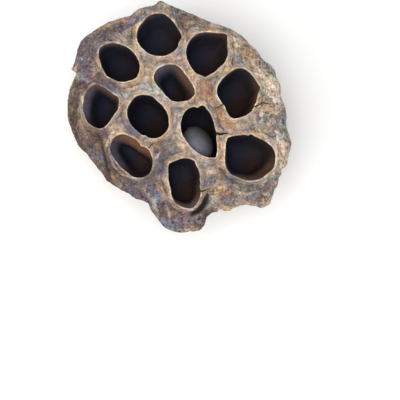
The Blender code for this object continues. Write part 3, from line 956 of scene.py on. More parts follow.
@dataclass
class SeedCup:
    """The woody cup: its face, its pits and its flaring side, sewn into one skin.

    Attributes:
        face: the pitted face.
        pit_columns: how many even directions a pit's patch has.
        pit_ring: how far outside the mouth a pit's patch meets the face.
        lip_rows: how far outside the mouth the further rows of the lip lie.
        wall_rows: depths of the rows of a pit's wall, as shares of the pit's depth.
        floor_start: share of the depth where the wall starts to round off into the floor.
        crack_reach: how near a crack must start to a mouth to split its lip.
        crack_steps: columns of a pit across a crack's start, in half widths of it.
        crack_lines: lines of extra points along a crack, in half widths from its middle.
        pocket_side: direction in which a seed's pocket stands back.
        pocket_spread: how far round a seed's pocket reaches, in degrees.
        lip_light: direction that the painted highlight on the lips faces.
        rim_columns: how many even directions the side has.
        rim_share: share of the way out where the side meets the face.
        rim_steps: how far the first rows under the rim lie below one another.
        lattice: spacing of the points between the pits.
        lattice_reach: half the side of the square that the points are laid over.
        stub_centre: plan point in the middle of the stub's cut.
        outer_pits: how far from the middle a pit lies that bulges the side out.
        rib_count: how many ribs run down the side.
        rib_rise: how far the ribs stand out.
        pit_lean: how far the pits lean to the stub, as a share of their distance from the middle.
        section: (share of the mouth's radius, share of the belly, share of the depth) down a pit's wall.
        side_profile: (share of the rim's radius, height) down the side.
        duct_depth: how deep the air ducts are.
        ducts: rings of air ducts, as (how many, distance from the middle, turn, inner and outer radius).
    """

    face: Face = Face()
    pit_columns: int = 96
    pit_ring: float = 1.1
    lip_rows: tuple = (0.9, 0.72, 0.56, 0.42, 0.3, 0.18, 0.07)
    wall_rows: tuple = (
        0.015, 0.035, 0.06, 0.09, 0.125, 0.165, 0.21, 0.26, 0.32, 0.38, 0.45, 0.52, 0.6, 0.68, 0.76, 0.83,
        0.89, 0.94, 0.975, 0.993,
    )
    floor_start: float = 0.6
    crack_reach: float = 1.5
    crack_steps: tuple = (-1.3, -0.6, 0.0, 0.6, 1.3)
    crack_lines: tuple = (-1.25, -0.5, 0.0, 0.5, 1.25)
    pocket_side: float = 212.0
    pocket_spread: float = 62.0
    lip_light: float = 225.0
    rim_columns: int = 480
    rim_share: float = 0.972
    rim_steps: tuple = (0.45, 0.6)
    lattice: float = 0.43
    lattice_reach: float = 50.0
    stub_centre: tuple = (-0.2, 0.3)
    outer_pits: float = 23.0
    rib_count: int = 18
    rib_rise: float = 0.45
    pit_lean: float = 0.1
    section: tuple = (
        (1.0, 0.0, 0.0), (1.0, 0.6, 0.2), (0.94, 1.0, 0.5), (0.79, 0.7, 0.78), (0.48, 0.3, 0.95),
        (0.0, 0.0, 1.0),
    )
    side_profile: tuple = (
        (0.972, 37.6), (0.986, 37.2), (0.996, 36.9), (1.0, 36.4), (0.992, 35.7), (0.967, 34.9), (0.933, 32.6),
        (0.895, 29.0), (0.824, 24.0), (0.714, 18.8), (0.571, 13.8), (0.414, 9.6), (0.286, 6.4), (0.21, 3.8),
        (0.181, 1.6), (0.1765, 0.25), (0.172, 0.0),
    )
    duct_depth: float = 1.6
    ducts: tuple = ((7, 3.9, 12.0, 0.75, 1.1), (9, 6.0, 4.0, 0.25, 0.5), (1, 0.0, 0.0, 0.6, 1.0))

    def pit_directions(self, pit: Pit) -> Values:
        """Directions of a pit's columns: even steps, one on each corner and a few more across each crack.

        Args:
            pit: the pit.

        Returns:
            The directions, in rising order.
        """
        even = np.arange(self.pit_columns) * 360.0 / self.pit_columns
        extra = [corner[0] for corner in pit.corners]
        for crack in CRACKS:
            ax, ay = crack.path[0]
            if abs(float(pit.gap(np.array(ax), np.array(ay)))) < self.crack_reach:
                middle = math.degrees(math.atan2(ay - pit.y, ax - pit.x))
                edge = float(pit.mouth(np.array(middle)))
                half = math.degrees(crack.width / edge)
                extra += [middle + step * half for step in self.crack_steps]
        extras = np.array(extra) % 360.0
        if len(extras):
            even = even[[turn_between(extras, each).min() > 1.0 for each in even]]
        return np.sort(np.concatenate([even, extras]))

    def ring(self, pit: Pit, directions: Values) -> Values:
        """Plan points of the ring where a pit's patch meets the face."""
        return polar(directions, pit.mouth(directions) + self.pit_ring) + np.array([pit.x, pit.y])

    def stains(self, x: Values, y: Values) -> dict[str, Values]:
        """Amount of each tint, with the patches' edges pushed about by noise.

        Args:
            x: plan places to the right.
            y: plan places up the photograph.

        Returns:
            Values from 0 to 1 under each tint's name.
        """
        spots = on_plan(x, y)
        shifted_x = x + 1.5 * Grain(31).fractal(spots, 3.4, 3)
        shifted_y = y + 1.5 * Grain(32).fractal(spots, 3.4, 3)
        amounts = {}
        for tint, patches in STAINS.items():
            amount = sum(Stain(*patch).amount(shifted_x, shifted_y) for patch in patches)
            amounts[tint.value] = np.clip(amount, 0.0, 1.0)
        return amounts

    def skin_values(self, x: Values, y: Values) -> tuple[dict[str, Values], Values]:
        """What the finish of the face reads at points.

        Args:
            x: plan places to the right.
            y: plan places up the photograph.

        Returns:
            The finish values under their names, and the fibre coordinates.
        """
        gaps = self.face.gaps(x, y)
        nearest = gaps.min(axis=0)
        spots = on_plan(x, y)
        flow = self.face.flow(gaps, x, y) + 0.45 * Grain(33).fractal(spots, 3.2, 3)
        values = self.stains(x, y)
        # The lips' pale edge gets a painted highlight, strongest on the side of each pit that faces
        # lip_light.
        centres = np.array([[pit.x, pit.y] for pit in PITS])[gaps.argmin(axis=0)]
        side = np.arctan2(y - centres[:, 1], x - centres[:, 0])
        facing = 0.3 + 0.7 * eased(np.cos(side - math.radians(self.lip_light)), -0.5, 0.6)
        values["lip"] = bell(nearest - 0.15, 0.22) * facing
        values["collar"] = 1.0 - eased(nearest, 0.5, 2.4)
        values["hem"] = bell(nearest - 2.2 - 0.7 * Grain(34).value(spots, 4.0), 0.42)
        values["valley"] = eased(nearest, 1.2, 4.2)
        values["outer"] = eased(self.share(x, y), 0.55, 0.85)
        values["split"] = np.max([crack.opening(x, y) for crack in CRACKS], axis=0)
        # Height of the fine relief and of the folds, which the finish turns into painted light on crests and
        # ridges and painted shade in hollows and creases.
        values["crest"] = np.clip(0.5 + self.face.relief(x, y, gaps) / 0.9, 0.0, 1.0)
        folds = [fold.height(x, y) for fold in FOLDS]
        values["crease"] = np.clip(-np.min(folds, axis=0) / 1.6, 0.0, 1.0)
        values["ridge"] = np.clip(np.max(folds, axis=0), 0.0, 1.0)
        fibre = np.stack([x / 4.4, y / 4.4, flow / 0.85], axis=-1)
        return values, fibre

    def lattice_points(self) -> Values:
        """Lays the hexagonal lattice that fills the face between the rings.

        Returns:
            Its plan points, as an (n, 2) array.
        """
        step = self.lattice
        rows = np.arange(-self.lattice_reach, self.lattice_reach, step * math.sqrt(0.75))
        columns = np.arange(-self.lattice_reach, self.lattice_reach, step)
        grid_y, grid_x = np.meshgrid(rows, columns, indexing="ij")
        grid_x = grid_x + (np.arange(len(rows)) % 2)[:, None] * step / 2
        x, y = grid_x.ravel(), grid_y.ravel()
        keep = self.face.gaps(x, y).min(axis=0) > self.pit_ring + 0.28
        keep &= self.share(x, y) < self.rim_share - 0.008
        return np.stack([x[keep], y[keep]], axis=-1)

    def face_patch(self) -> Patch:
        """The face between the pits: a lattice and the other patches' rings, joined by Delaunay triangles.

        Returns:
            Its patch.
        """
        rings = [self.ring(pit, self.pit_directions(pit)) for pit in PITS]
        around = np.arange(self.rim_columns) * 360.0 / self.rim_columns
        rings.append(polar(around, self.rim_edge(around) * self.rim_share))
        fine = np.concatenate([self.crack_points(crack) for crack in CRACKS])
        fine = fine[self.face.gaps(fine[:, 0], fine[:, 1]).min(axis=0) > self.pit_ring + 0.1]
        points = np.concatenate(rings + [self.lattice_points(), fine])
        edges = []
        start = 0
        for ring in rings:
            count = len(ring)
            here = np.arange(count)
            edges.append(np.stack([start + here, start + (here + 1) % count], axis=-1))
            start += count
        flat, _, triangles, _, _, _ = delaunay_2d_cdt(
            [Vector(point) for point in points.tolist()], np.concatenate(edges).tolist(), [], 0, 1e-6, False
        )
        flat = np.array([tuple(point) for point in flat])
        triangles = np.array(triangles)
        middle = flat[triangles].mean(axis=1)
        inside = self.in_ring((0.0, 0.0), around, rings[-1], middle)
        for pit, ring in zip(PITS, rings):
            inside &= ~self.in_ring((pit.x, pit.y), self.pit_directions(pit), ring, middle)
        triangles = triangles[inside]
        heights = self.face.height(flat[:, 0], flat[:, 1])
        values, fibre = self.skin_values(flat[:, 0], flat[:, 1])
        used = np.unique(triangles)
        renumber = np.zeros(len(flat), int)
        renumber[used] = np.arange(len(used))
        solid = np.column_stack([flat, heights])[used]
        values = {key: amount[used] for key, amount in values.items()}
        return Patch(solid, np.zeros((0, 4), int), renumber[triangles], values, fibre[used])

    def crack_points(self, crack: Crack) -> Values:
        """Extra plan points along a crack: lines beside it, each with a point every fifth of a millimetre.

        Args:
            crack: the crack.

        Returns:
            An (n, 2) array of points.
        """
        path = np.array(crack.path, float)
        lengths = np.concatenate([[0.0], np.cumsum(np.hypot(*(path[1:] - path[:-1]).T))])
        walk = np.arange(0.0, lengths[-1] + 0.3, 0.22)
        x, y = np.interp(walk, lengths, path[:, 0]), np.interp(walk, lengths, path[:, 1])
        tangent = np.stack([np.gradient(x), np.gradient(y)], axis=-1)
        tangent /= np.linalg.norm(tangent, axis=1)[:, None] + 1e-9
        normal = np.stack([-tangent[:, 1], tangent[:, 0]], axis=-1)
        half = crack.half_width(walk / max(lengths[-1], 0.1))
        middle = np.stack([x, y], axis=-1)
        return np.concatenate([middle + normal * (half * side)[:, None] for side in self.crack_lines])

    @staticmethod
    def in_ring(centre: tuple, directions: Values, ring: Values, points: Values) -> Values:
        """Whether points lie inside a ring: on the inner side of its edge in their direction from the centre.

        Args:
            centre: plan point that the ring runs round.
            directions: directions of the ring's points from it, in rising order.
            ring: the ring's points.
            points: the points to be tested.

        Returns:
            True for each point inside.
        """
        aim = np.degrees(np.arctan2(points[:, 1] - centre[1], points[:, 0] - centre[0])) % 360.0
        first = (np.searchsorted(directions, aim, side="right") - 1) % len(ring)
        a, b = ring[first], ring[(first + 1) % len(ring)]
        edge, apart = b - a, points - a
        return edge[:, 0] * apart[:, 1] - edge[:, 1] * apart[:, 0] > 0.0

    def rim_edge(self, direction: Values) -> Values:
        """Radius of the worn outline: the rim's own, plus the wear between its knots and a fine ragged noise.

        Args:
            direction: any directions, in one row.

        Returns:
            The radius in each direction.
        """
        spots = np.column_stack([polar(direction, self.face.rim.mean_radius), np.zeros(np.size(direction))])
        worn = np.interp(direction % 360.0, *np.array(WEAR).T)
        return self.face.rim.radius(direction) + worn + 0.16 * Grain(41).fractal(spots, 1.5, 2)

    def share(self, x: Values, y: Values) -> Values:
        """How far out a point lies, from 0 at the middle to 1 at the worn outline."""
        return np.hypot(x, y) / self.rim_edge(np.degrees(np.arctan2(y, x)))

    def wall_radius(self, pit: Pit, directions: Values) -> Values:
        """Radius of a pit's wall: the mouth's, times the section's share at its depth, less the lean.

        From floor_start down, the wall rounds off by sqrt(1 - t^2.4), where t goes from 0 there to 1 at the
        bottom. The belly and a seed's pocket stand back, and noise that is drawn out along it flutes it.

        Args:
            pit: the pit.
            directions: directions of its columns.

        Returns:
            The radius, one row for each depth and one column for each direction.
        """
        down = np.array(self.wall_rows)
        mouth = pit.mouth(directions)
        section = np.array(self.section)
        share = np.interp(down, section[:, 2], section[:, 0])
        narrowed = eased(down, 0.0, 0.42) * (1.0 - 0.5 * eased(down, 0.5, 1.0)) * share
        past = ((down - self.floor_start) / (1.0 - self.floor_start)).clip(0.0)
        round_off = np.sqrt(np.clip(1.0 - past ** 2.4, 0.0, 1.0))
        floor_row = np.searchsorted(down, self.floor_start)
        share = np.where(down > self.floor_start, share[floor_row] * round_off, share)
        narrowed = np.where(down > self.floor_start, narrowed[floor_row] * round_off, narrowed)
        lit_side = eased(np.cos(np.radians(directions - pit.light)), -0.25, 0.85)
        sky_side = min(pit.sky_light, 1.0) * eased(np.cos(np.radians(directions - pit.sky_light_side)), -0.1, 0.9)
        inset = pit.funnel * narrowed[:, None] * (0.2 + 1.1 * np.maximum(lit_side, 0.7 * sky_side))[None, :]
        bulged = np.interp(down, section[:, 2], section[:, 1])[:, None]
        pocket = bell(turn_between(directions, self.pocket_side), self.pocket_spread)
        belly = pit.belly * bulged + pit.pocket * bulged * pocket
        tube = columned(directions, 4.0, down[:, None] * pit.depth / 9.0 + pit.x)
        flutes = 0.16 * Grain(51).fractal(tube, 1.0, 3).reshape(belly.shape)
        lumps = 0.3 * Grain(52).value(tube * np.array([0.4, 0.4, 2.0]), 1.0).reshape(belly.shape)
        radius = (share[:, None] - inset) * mouth + belly * mouth / mouth.mean()
        radius = radius * (1.0 + (flutes + lumps) * eased(down, 0.0, 0.12)[:, None] / 8.0)
        return radius - 0.05 * (1.0 - eased(down, 0.0, 0.05))[:, None]

    @staticmethod
    def wall_finish(pit: Pit, values: dict[str, Values], turned: Values, sunk: Values, inner: Values) -> None:
        """Sets the values that the finish of a pit's wall reads, and clears the face's own under the lip.

        Args:
            pit: the pit.
            values: the finish values of its points, which are changed.
            turned: direction of each point from the pit's middle, in radians.
            sunk: how deep under the lip each point lies.
            inner: 1 for the points of the wall and the floor, 0 for those of the lip.
        """
        fade_face_values(values, ("valley", "collar", "hem"), inner)
        # The pale edge, partly a painted highlight, runs just over the lip into the wall.
        values["lip"] = np.where(inner > 0.5, bell(sunk, 0.15) * 0.4, values["lip"])
        values["split"] = np.where(inner > 0.5, 0.0, values["split"])
        # Below the lip the wall's dark colour takes over, which paints much of the pit's shade; one side gets
        # painted warm light, the other a painted blue sky reflection.
        values["sunk"] = sunk / 10.0
        values["warmth"] = (0.5 + 0.5 * np.cos(turned + 0.5)) * inner
        # A band of painted light down the lit side, with a sharp lower edge like a shadow's.
        facing = eased(np.cos(turned - math.radians(pit.light)), -0.1, 0.9)
        reach = pit.lit_reach * (0.5 + facing)
        values["wall_light"] = inner * (1.0 - eased(sunk, 0.3 * reach, 1.35 * reach)) * facing * pit.glow
        # Painted sky light on the side that faces the sky, fading with depth.
        skyward = eased(np.cos(turned - math.radians(pit.sky_light_side)), 0.0, 0.9)
        values["wall_haze"] = inner * (1.0 - eased(sunk, 0.4, 5.6)) * skyward * pit.sky_light
        # Painted shade, deeper down the pit.
        values["murk"] = inner * eased(sunk, 2.0, 8.0) * pit.murk

    def pit_patch(self, pit: Pit) -> Patch:
        """A pit: rows that climb over the lip and run down the leaning wall to the floor's middle.

        Args:
            pit: the pit.

        Returns:
            Its patch.
        """
        directions = self.pit_directions(pit)
        count = len(directions)
        outside = np.array([self.pit_ring, *self.lip_rows])
        down = np.array(self.wall_rows)[:, None]
        lip_radius = pit.mouth(directions)[None, :] + outside[:, None]
        lip = polar(np.broadcast_to(directions, lip_radius.shape), lip_radius) + np.array([pit.x, pit.y])
        lip_z = self.face.height(lip[..., 0].ravel(), lip[..., 1].ravel()).reshape(lip_radius.shape)
        radius = self.wall_radius(pit, directions)
        wall = polar(np.broadcast_to(directions, radius.shape), radius) + np.array([pit.x, pit.y])
        wall[..., 0] += down * (pit.slip[0] - self.pit_lean * pit.x)
        wall[..., 1] += down * (pit.slip[1] - self.pit_lean * pit.y)
        top = float(self.face.base(np.array([pit.x]), np.array([pit.y]))[0])
        edge_z = lip_z[-1][None, :] - 0.12
        wall_z = top - down * pit.depth + (edge_z - top) * (1.0 - down) ** 3
        plan = np.concatenate([lip, wall])
        z = np.concatenate([lip_z, wall_z])
        floor = np.array([[wall[-1, :, 0].mean(), wall[-1, :, 1].mean(), top - pit.depth]])
        points = np.concatenate([np.concatenate([plan, z[..., None]], axis=-1).reshape(-1, 3), floor])
        sunk = np.concatenate([np.zeros_like(lip_z), lip_z[-1] - wall_z]).ravel()
        inner = np.concatenate([np.zeros_like(lip_z), np.ones_like(wall_z)]).ravel()
        sunk, inner = np.append(sunk, pit.depth), np.append(inner, 1.0)
        turned = np.radians(np.append(np.broadcast_to(directions, z.shape).ravel(), 0.0))
        values, fibre = self.skin_values(points[:, 0], points[:, 1])
        self.wall_finish(pit, values, turned, sunk, inner)
        wall_fibre = np.stack([np.cos(turned) * 9.0, np.sin(turned) * 9.0, sunk / 5.0 + pit.x], axis=-1)
        fibre = np.where(inner[:, None] > 0.5, wall_fibre, fibre)
        return Patch(points, grid_faces(len(z), count), fan_faces(len(z), count), values, fibre)

    def side_rows(self) -> tuple[Values, Values]:
        """The side's profile, with even steps down the wall that are rounded by a running mean.

        Returns:
            Each row's share of the rim's radius, and its height.
        """
        knots = np.array(self.side_profile)
        steps = np.hypot(np.diff(knots[:, 0] * self.face.rim.mean_radius), np.diff(knots[:, 1]))
        walk = np.concatenate([[0.0], np.cumsum(steps)])
        places = np.concatenate([walk[:5], np.linspace(walk[4], walk[14], 41)[1:], walk[15:]])
        share, level = np.interp(places, walk, knots[:, 0]), np.interp(places, walk, knots[:, 1])
        kernel = np.array([0.25, 0.5, 0.25])
        for _ in range(4):
            share[5:-3] = np.convolve(share, kernel, "same")[5:-3]
            level[5:-3] = np.convolve(level, kernel, "same")[5:-3]
        return share, level

    def side_bulges(self, around: Values, level: Values) -> Values:
        """How far the side bulges out over the outer pits: a bell curve round each and down the wall.

        Args:
            around: directions of the side's columns.
            level: heights of its rows.

        Returns:
            One row for each height, one column for each direction.
        """
        outer = [pit for pit in PITS if math.hypot(pit.x, pit.y) > self.outer_pits]
        aims = [math.degrees(math.atan2(pit.y, pit.x)) for pit in outer]
        round_them = sum(bell(turn_between(around, aim), 15.0) for aim in aims)
        down_wall = bell(level - 25.0, 10.0) * (1.0 - eased(level, 33.0, 36.4))
        return 1.3 * round_them[None, :] * down_wall[:, None]

    def side_patch(self) -> Patch:
        """The side from the rim's edge down to the cut stub, and the cut itself.

        A side point is the profile's radius and height, stretched to the outline by an even amount that fades
        towards the round stub, and moved out by the bulges over the outer pits, the ribs and the wrinkles.

        Returns:
            Its patch.
        """
        count = self.rim_columns
        around = np.arange(count) * 360.0 / count
        share, level = self.side_rows()
        rim = self.rim_edge(around)
        mean_radius = self.face.rim.mean_radius
        lobed = eased(level, 4.0, 33.0)[:, None]
        radius = share[:, None] * mean_radius * (1.0 + lobed * (rim / mean_radius - 1.0)[None, :])
        spots = columned(around, 13.0, level[:, None] / 9.0)
        band = (eased(level, 4.0, 12.0) * (1.0 - eased(level, 27.0, 36.0)))[:, None]
        ribs = band * self.rib_rise * np.cos(np.radians(around) * self.rib_count)[None, :]
        free = (eased(level, 1.0, 6.0) * (1.0 - eased(level, 34.5, 36.6)))[:, None]
        pleats = 0.42 * (Grain(61).ridged(spots, 1.0) - 0.5).reshape(radius.shape) * free
        lumps = Grain(62).fractal(spots * np.array([0.25, 0.25, 1.6]), 1.0, 3)
        lumps = 0.45 * lumps.reshape(radius.shape) * free
        bark = Grain(63).fractal(spots * np.array([2.2, 2.2, 3.0]), 1.0, 2)
        bark = 0.12 * bark.reshape(radius.shape) * free
        radius = radius + self.side_bulges(around, level) + ribs + pleats + lumps + bark
        aim = np.broadcast_to(around, radius.shape)
        plan = polar(aim, radius)
        plan += np.array(self.stub_centre) * (1.0 - lobed)[..., None]
        edge = polar(around, rim)
        edge_level = self.face.height(edge[:, 0], edge[:, 1])
        lift = edge_level - (self.face.height_at_middle - self.face.crown_drop - self.face.roll_drop)
        z = level[:, None] + lift[None, :] * lobed
        on_face = 3
        top = plan[:on_face]
        z[:on_face] = self.face.height(top[..., 0].ravel(), top[..., 1].ravel()).reshape(top.shape[:2])
        for row, drop in enumerate(self.rim_steps, start=on_face):
            z[row] = z[row - 1] - drop
        z[-1] = 0.0
        cut = self.stub_cut(plan[-1])
        side = np.concatenate([plan, z[..., None]], axis=-1).reshape(-1, 3)
        values, fibre = self.skin_values(side[:, 0], side[:, 1])
        under = np.broadcast_to(eased(-level, -36.3, -34.5)[:, None], radius.shape).ravel()
        fade_face_values(values, ("lip", "valley", "collar", "hem", "crease", "ridge"), under)
        # On the side the crest value follows the pleats, ribs and bark, for painted light on their crests and
        # painted shade in their furrows.
        furrows = np.clip(0.55 + (pleats + 0.6 * ribs + bark).ravel() / 0.9, 0.0, 1.0)
        values["crest"] = values["crest"] + (furrows - values["crest"]) * under
        values["under"] = under
        for key in ("split", "scar", "duct"):
            values[key] = np.zeros(len(side))
        side_fibre = spots * np.array([1.9, 1.9, 1.0])
        fibre = fibre + (side_fibre - fibre) * under[:, None]
        points = np.concatenate([side, cut.points])
        quads = np.concatenate([grid_faces(len(z), count)[:, ::-1], cut.quads[:, ::-1] + len(side)])
        none = np.zeros(len(cut.points))
        for key, amount in values.items():
            values[key] = np.concatenate([amount, cut.values.get(key, none)])
        fibre = np.concatenate([fibre, cut.fibre])
        return Patch(points, quads, cut.triangles[:, ::-1] + len(side), values, fibre)

    def stub_cut(self, edge: Values) -> Patch:
        """The flat cut under the stub: rings shrinking to its middle, with air ducts sunk into it.

        Args:
            edge: plan points of the stub's lower edge.

        Returns:
            Its patch, which faces up.
        """
        count = len(edge)
        shrink = np.concatenate([[1.0], np.linspace(0.985, 0.06, 26)])
        middle = np.array(self.stub_centre)
        plan = middle + (edge - middle)[None] * shrink[:, None, None]
        x, y = plan[..., 0] - middle[0], plan[..., 1] - middle[1]
        duct = np.zeros(x.shape)
        for number, distance, turn, inner, outer in self.ducts:
            for place in polar(np.arange(number) * 360.0 / number + turn, distance):
                duct = np.maximum(duct, 1.0 - eased(np.hypot(x - place[0], y - place[1]), inner, outer))
        z = self.duct_depth * duct
        points = np.concatenate([plan, z[..., None]], axis=-1).reshape(-1, 3)
        points = np.concatenate([points, [[middle[0], middle[1], self.duct_depth]]])
        fibre = np.column_stack([points[:, 0], points[:, 1], points[:, 2] * 2.0])
        whole = np.ones(len(points))
        values = {"scar": whole, "under": whole, "duct": np.append(duct.ravel(), 1.0)}
        return Patch(points, grid_faces(len(z), count), fan_faces(len(z), count), values, fibre)

    def build(self) -> bpy.types.Object:
        """Sews the patches and sets the cup in the node pod's place.

        Returns:
            The cup.
        """
        patches = [self.face_patch()] + [self.pit_patch(pit) for pit in PITS] + [self.side_patch()]
        cup = bpy.data.objects.new("seed_cup", sewn_mesh("seed_cup", patches))
        bpy.context.scene.collection.objects.link(cup)
        cup.data.materials.append(DryTissue().material())
        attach(cup, "root")
        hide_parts("pod")
        return cup


@dataclass
class LooseSeed:
    """The seed that lies in its pit.

    Attributes:
        length: size along its axis.
        width: size across it.
        centre: its middle.
        turn: direction of its tip in plan.
        tip: how far its tip is raised, in degrees.
        taper: how much slimmer it is towards the tip.
        shaded_side: direction of the side with painted shade; the painted light lies on the side facing away
            from it.
        columns: how many points round it.
        rows: how many rings of points along it.
    """

    length: float = 14.4
    width: float = 11.6
    centre: tuple = (6.9, -10.4, 34.4)
    turn: float = 118.0
    tip: float = 4.0
    taper: float = 0.08
    shaded_side: float = 35.0
    columns: int = 112
    rows: int = 84

    def surface(self) -> Patch:
        """An oval of turning: radius sin(v)^0.94, height cos(v), tapered, with a nipple and a raised heel.

        Returns:
            Its patch, which is closed.
        """
        v = np.linspace(0.0, math.pi, self.rows + 2)[1:-1, None]
        u = np.linspace(0.0, 2.0 * math.pi, self.columns, endpoint=False)[None, :]
        axis = np.cos(v) + 0.0 * u
        girth = np.sin(v) ** 0.94 * (1.0 - self.taper * np.cos(v))
        ball = np.stack([girth * np.cos(u), girth * np.sin(u), axis], axis=-1).reshape(-1, 3)
        dents = 1.0 + 0.012 * Grain(71).fractal(ball, 0.7, 3)
        axial = ball[:, 2]
        nipple = 0.035 * bell(axial - 1.0, 0.012)
        scar = 0.02 * bell(axial + 1.0, 0.02)
        points = ball * dents[:, None]
        points[:, 2] += nipple + scar
        poles = np.array([[0.0, 0.0, 1.045], [0.0, 0.0, -0.98]])
        points = np.concatenate([points, poles]) * np.array([self.width / 2, self.width / 2, self.length / 2])
        tipped = Matrix.Rotation(math.radians(90.0 - self.tip), 3, "Y")
        turned = Matrix.Rotation(math.radians(self.turn), 3, "Z") @ tipped
        points = points @ np.array(turned).T + np.array(self.centre)
        count = self.columns
        ring = np.arange(count)
        beside = (ring + 1) % count
        base = (self.rows - 1) * count
        top = np.stack([ring, beside, np.full(count, self.rows * count)], axis=-1)
        bottom = np.stack([base + beside, base + ring, np.full(count, self.rows * count + 1)], axis=-1)
        # Painted shade over the far end, darkest at the tip.
        end = np.clip(0.55 * bell(axial - 1.0, 0.7) + bell(axial - 1.0, 0.03), 0.0, 1.0)
        # Painted light on one side of the seed and painted shade on the other.
        away = -polar(np.array(self.shaded_side), np.array(1.0))
        low_left = (points[:, :2] - np.array(self.centre[:2])) @ away / self.width * 2.0
        values = {
            "end": np.concatenate([end, [1.0, 0.0]]),
            "heel": np.concatenate([bell(axial + 1.0, 0.05), [0.0, 1.0]]),
            "dust": eased(low_left, 0.0, 0.9),
            "shade": eased(-low_left, -0.1, 0.95),
        }
        fibre = np.concatenate([ball, poles]) * np.array([6.0, 6.0, 2.0])
        return Patch(points, grid_faces(self.rows, count), np.concatenate([top, bottom]), values, fibre)

    def build(self) -> bpy.types.Object:
        """Makes the seed and sets it in the node seed's place.

        Returns:
            The seed.
        """
        seed = bpy.data.objects.new("loose_seed", sewn_mesh("loose_seed", [self.surface()]))
        bpy.context.scene.collection.objects.link(seed)
        seed.data.materials.append(SeedCoat().material())
        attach(seed, "root")
        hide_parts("seed")
        return seed


Link = Union["Sum", float]


class Sum:
    """A shader value written as arithmetic: an expression on it adds Math nodes."""

    def __init__(self, palette: "Palette", socket: bpy.types.NodeSocket) -> None:
        """Wraps a socket of the palette's node tree."""
        self.palette = palette
        self.socket = socket

    def _math(self, operation: str, *terms: Link) -> "Sum":
        """Adds a Math node."""
        node = self.palette.node("ShaderNodeMath", {"operation": operation}, dict(enumerate(terms)))
        return Sum(self.palette, node.outputs[0])

    def __add__(self, other: Link) -> "Sum":
        """self + other."""
        return self._math("ADD", self, other)

    __radd__ = __add__

    def __sub__(self, other: Link) -> "Sum":
        """self - other."""
        return self._math("SUBTRACT", self, other)

    def __rsub__(self, other: Link) -> "Sum":
        """other - self."""
        return self._math("SUBTRACT", other, self)

    def __mul__(self, other: Link) -> "Sum":
        """self * other."""
        return self._math("MULTIPLY", self, other)

    __rmul__ = __mul__

    def __abs__(self) -> "Sum":
        """Size of self."""
        return self._math("ABSOLUTE", self)

    def clamped(self) -> "Sum":
        """self held between 0 and 1."""
        node = self.palette.node("ShaderNodeMath", {"operation": "ADD", "use_clamp": True}, {0: self, 1: 0.0})
        return Sum(self.palette, node.outputs[0])

    def stepped(self, low: float, high: float) -> "Sum":
        """Steps softly from 0 to 1.

        Args:
            low: value up to which it is 0.
            high: value from which it is 1.

        Returns:
            The step.
        """
        settings = {"interpolation_type": "SMOOTHSTEP"}
        inputs = {"Value": self, "From Min": low, "From Max": high}
        node = self.palette.node("ShaderNodeMapRange", settings, inputs)
        return Sum(self.palette, node.outputs["Result"])


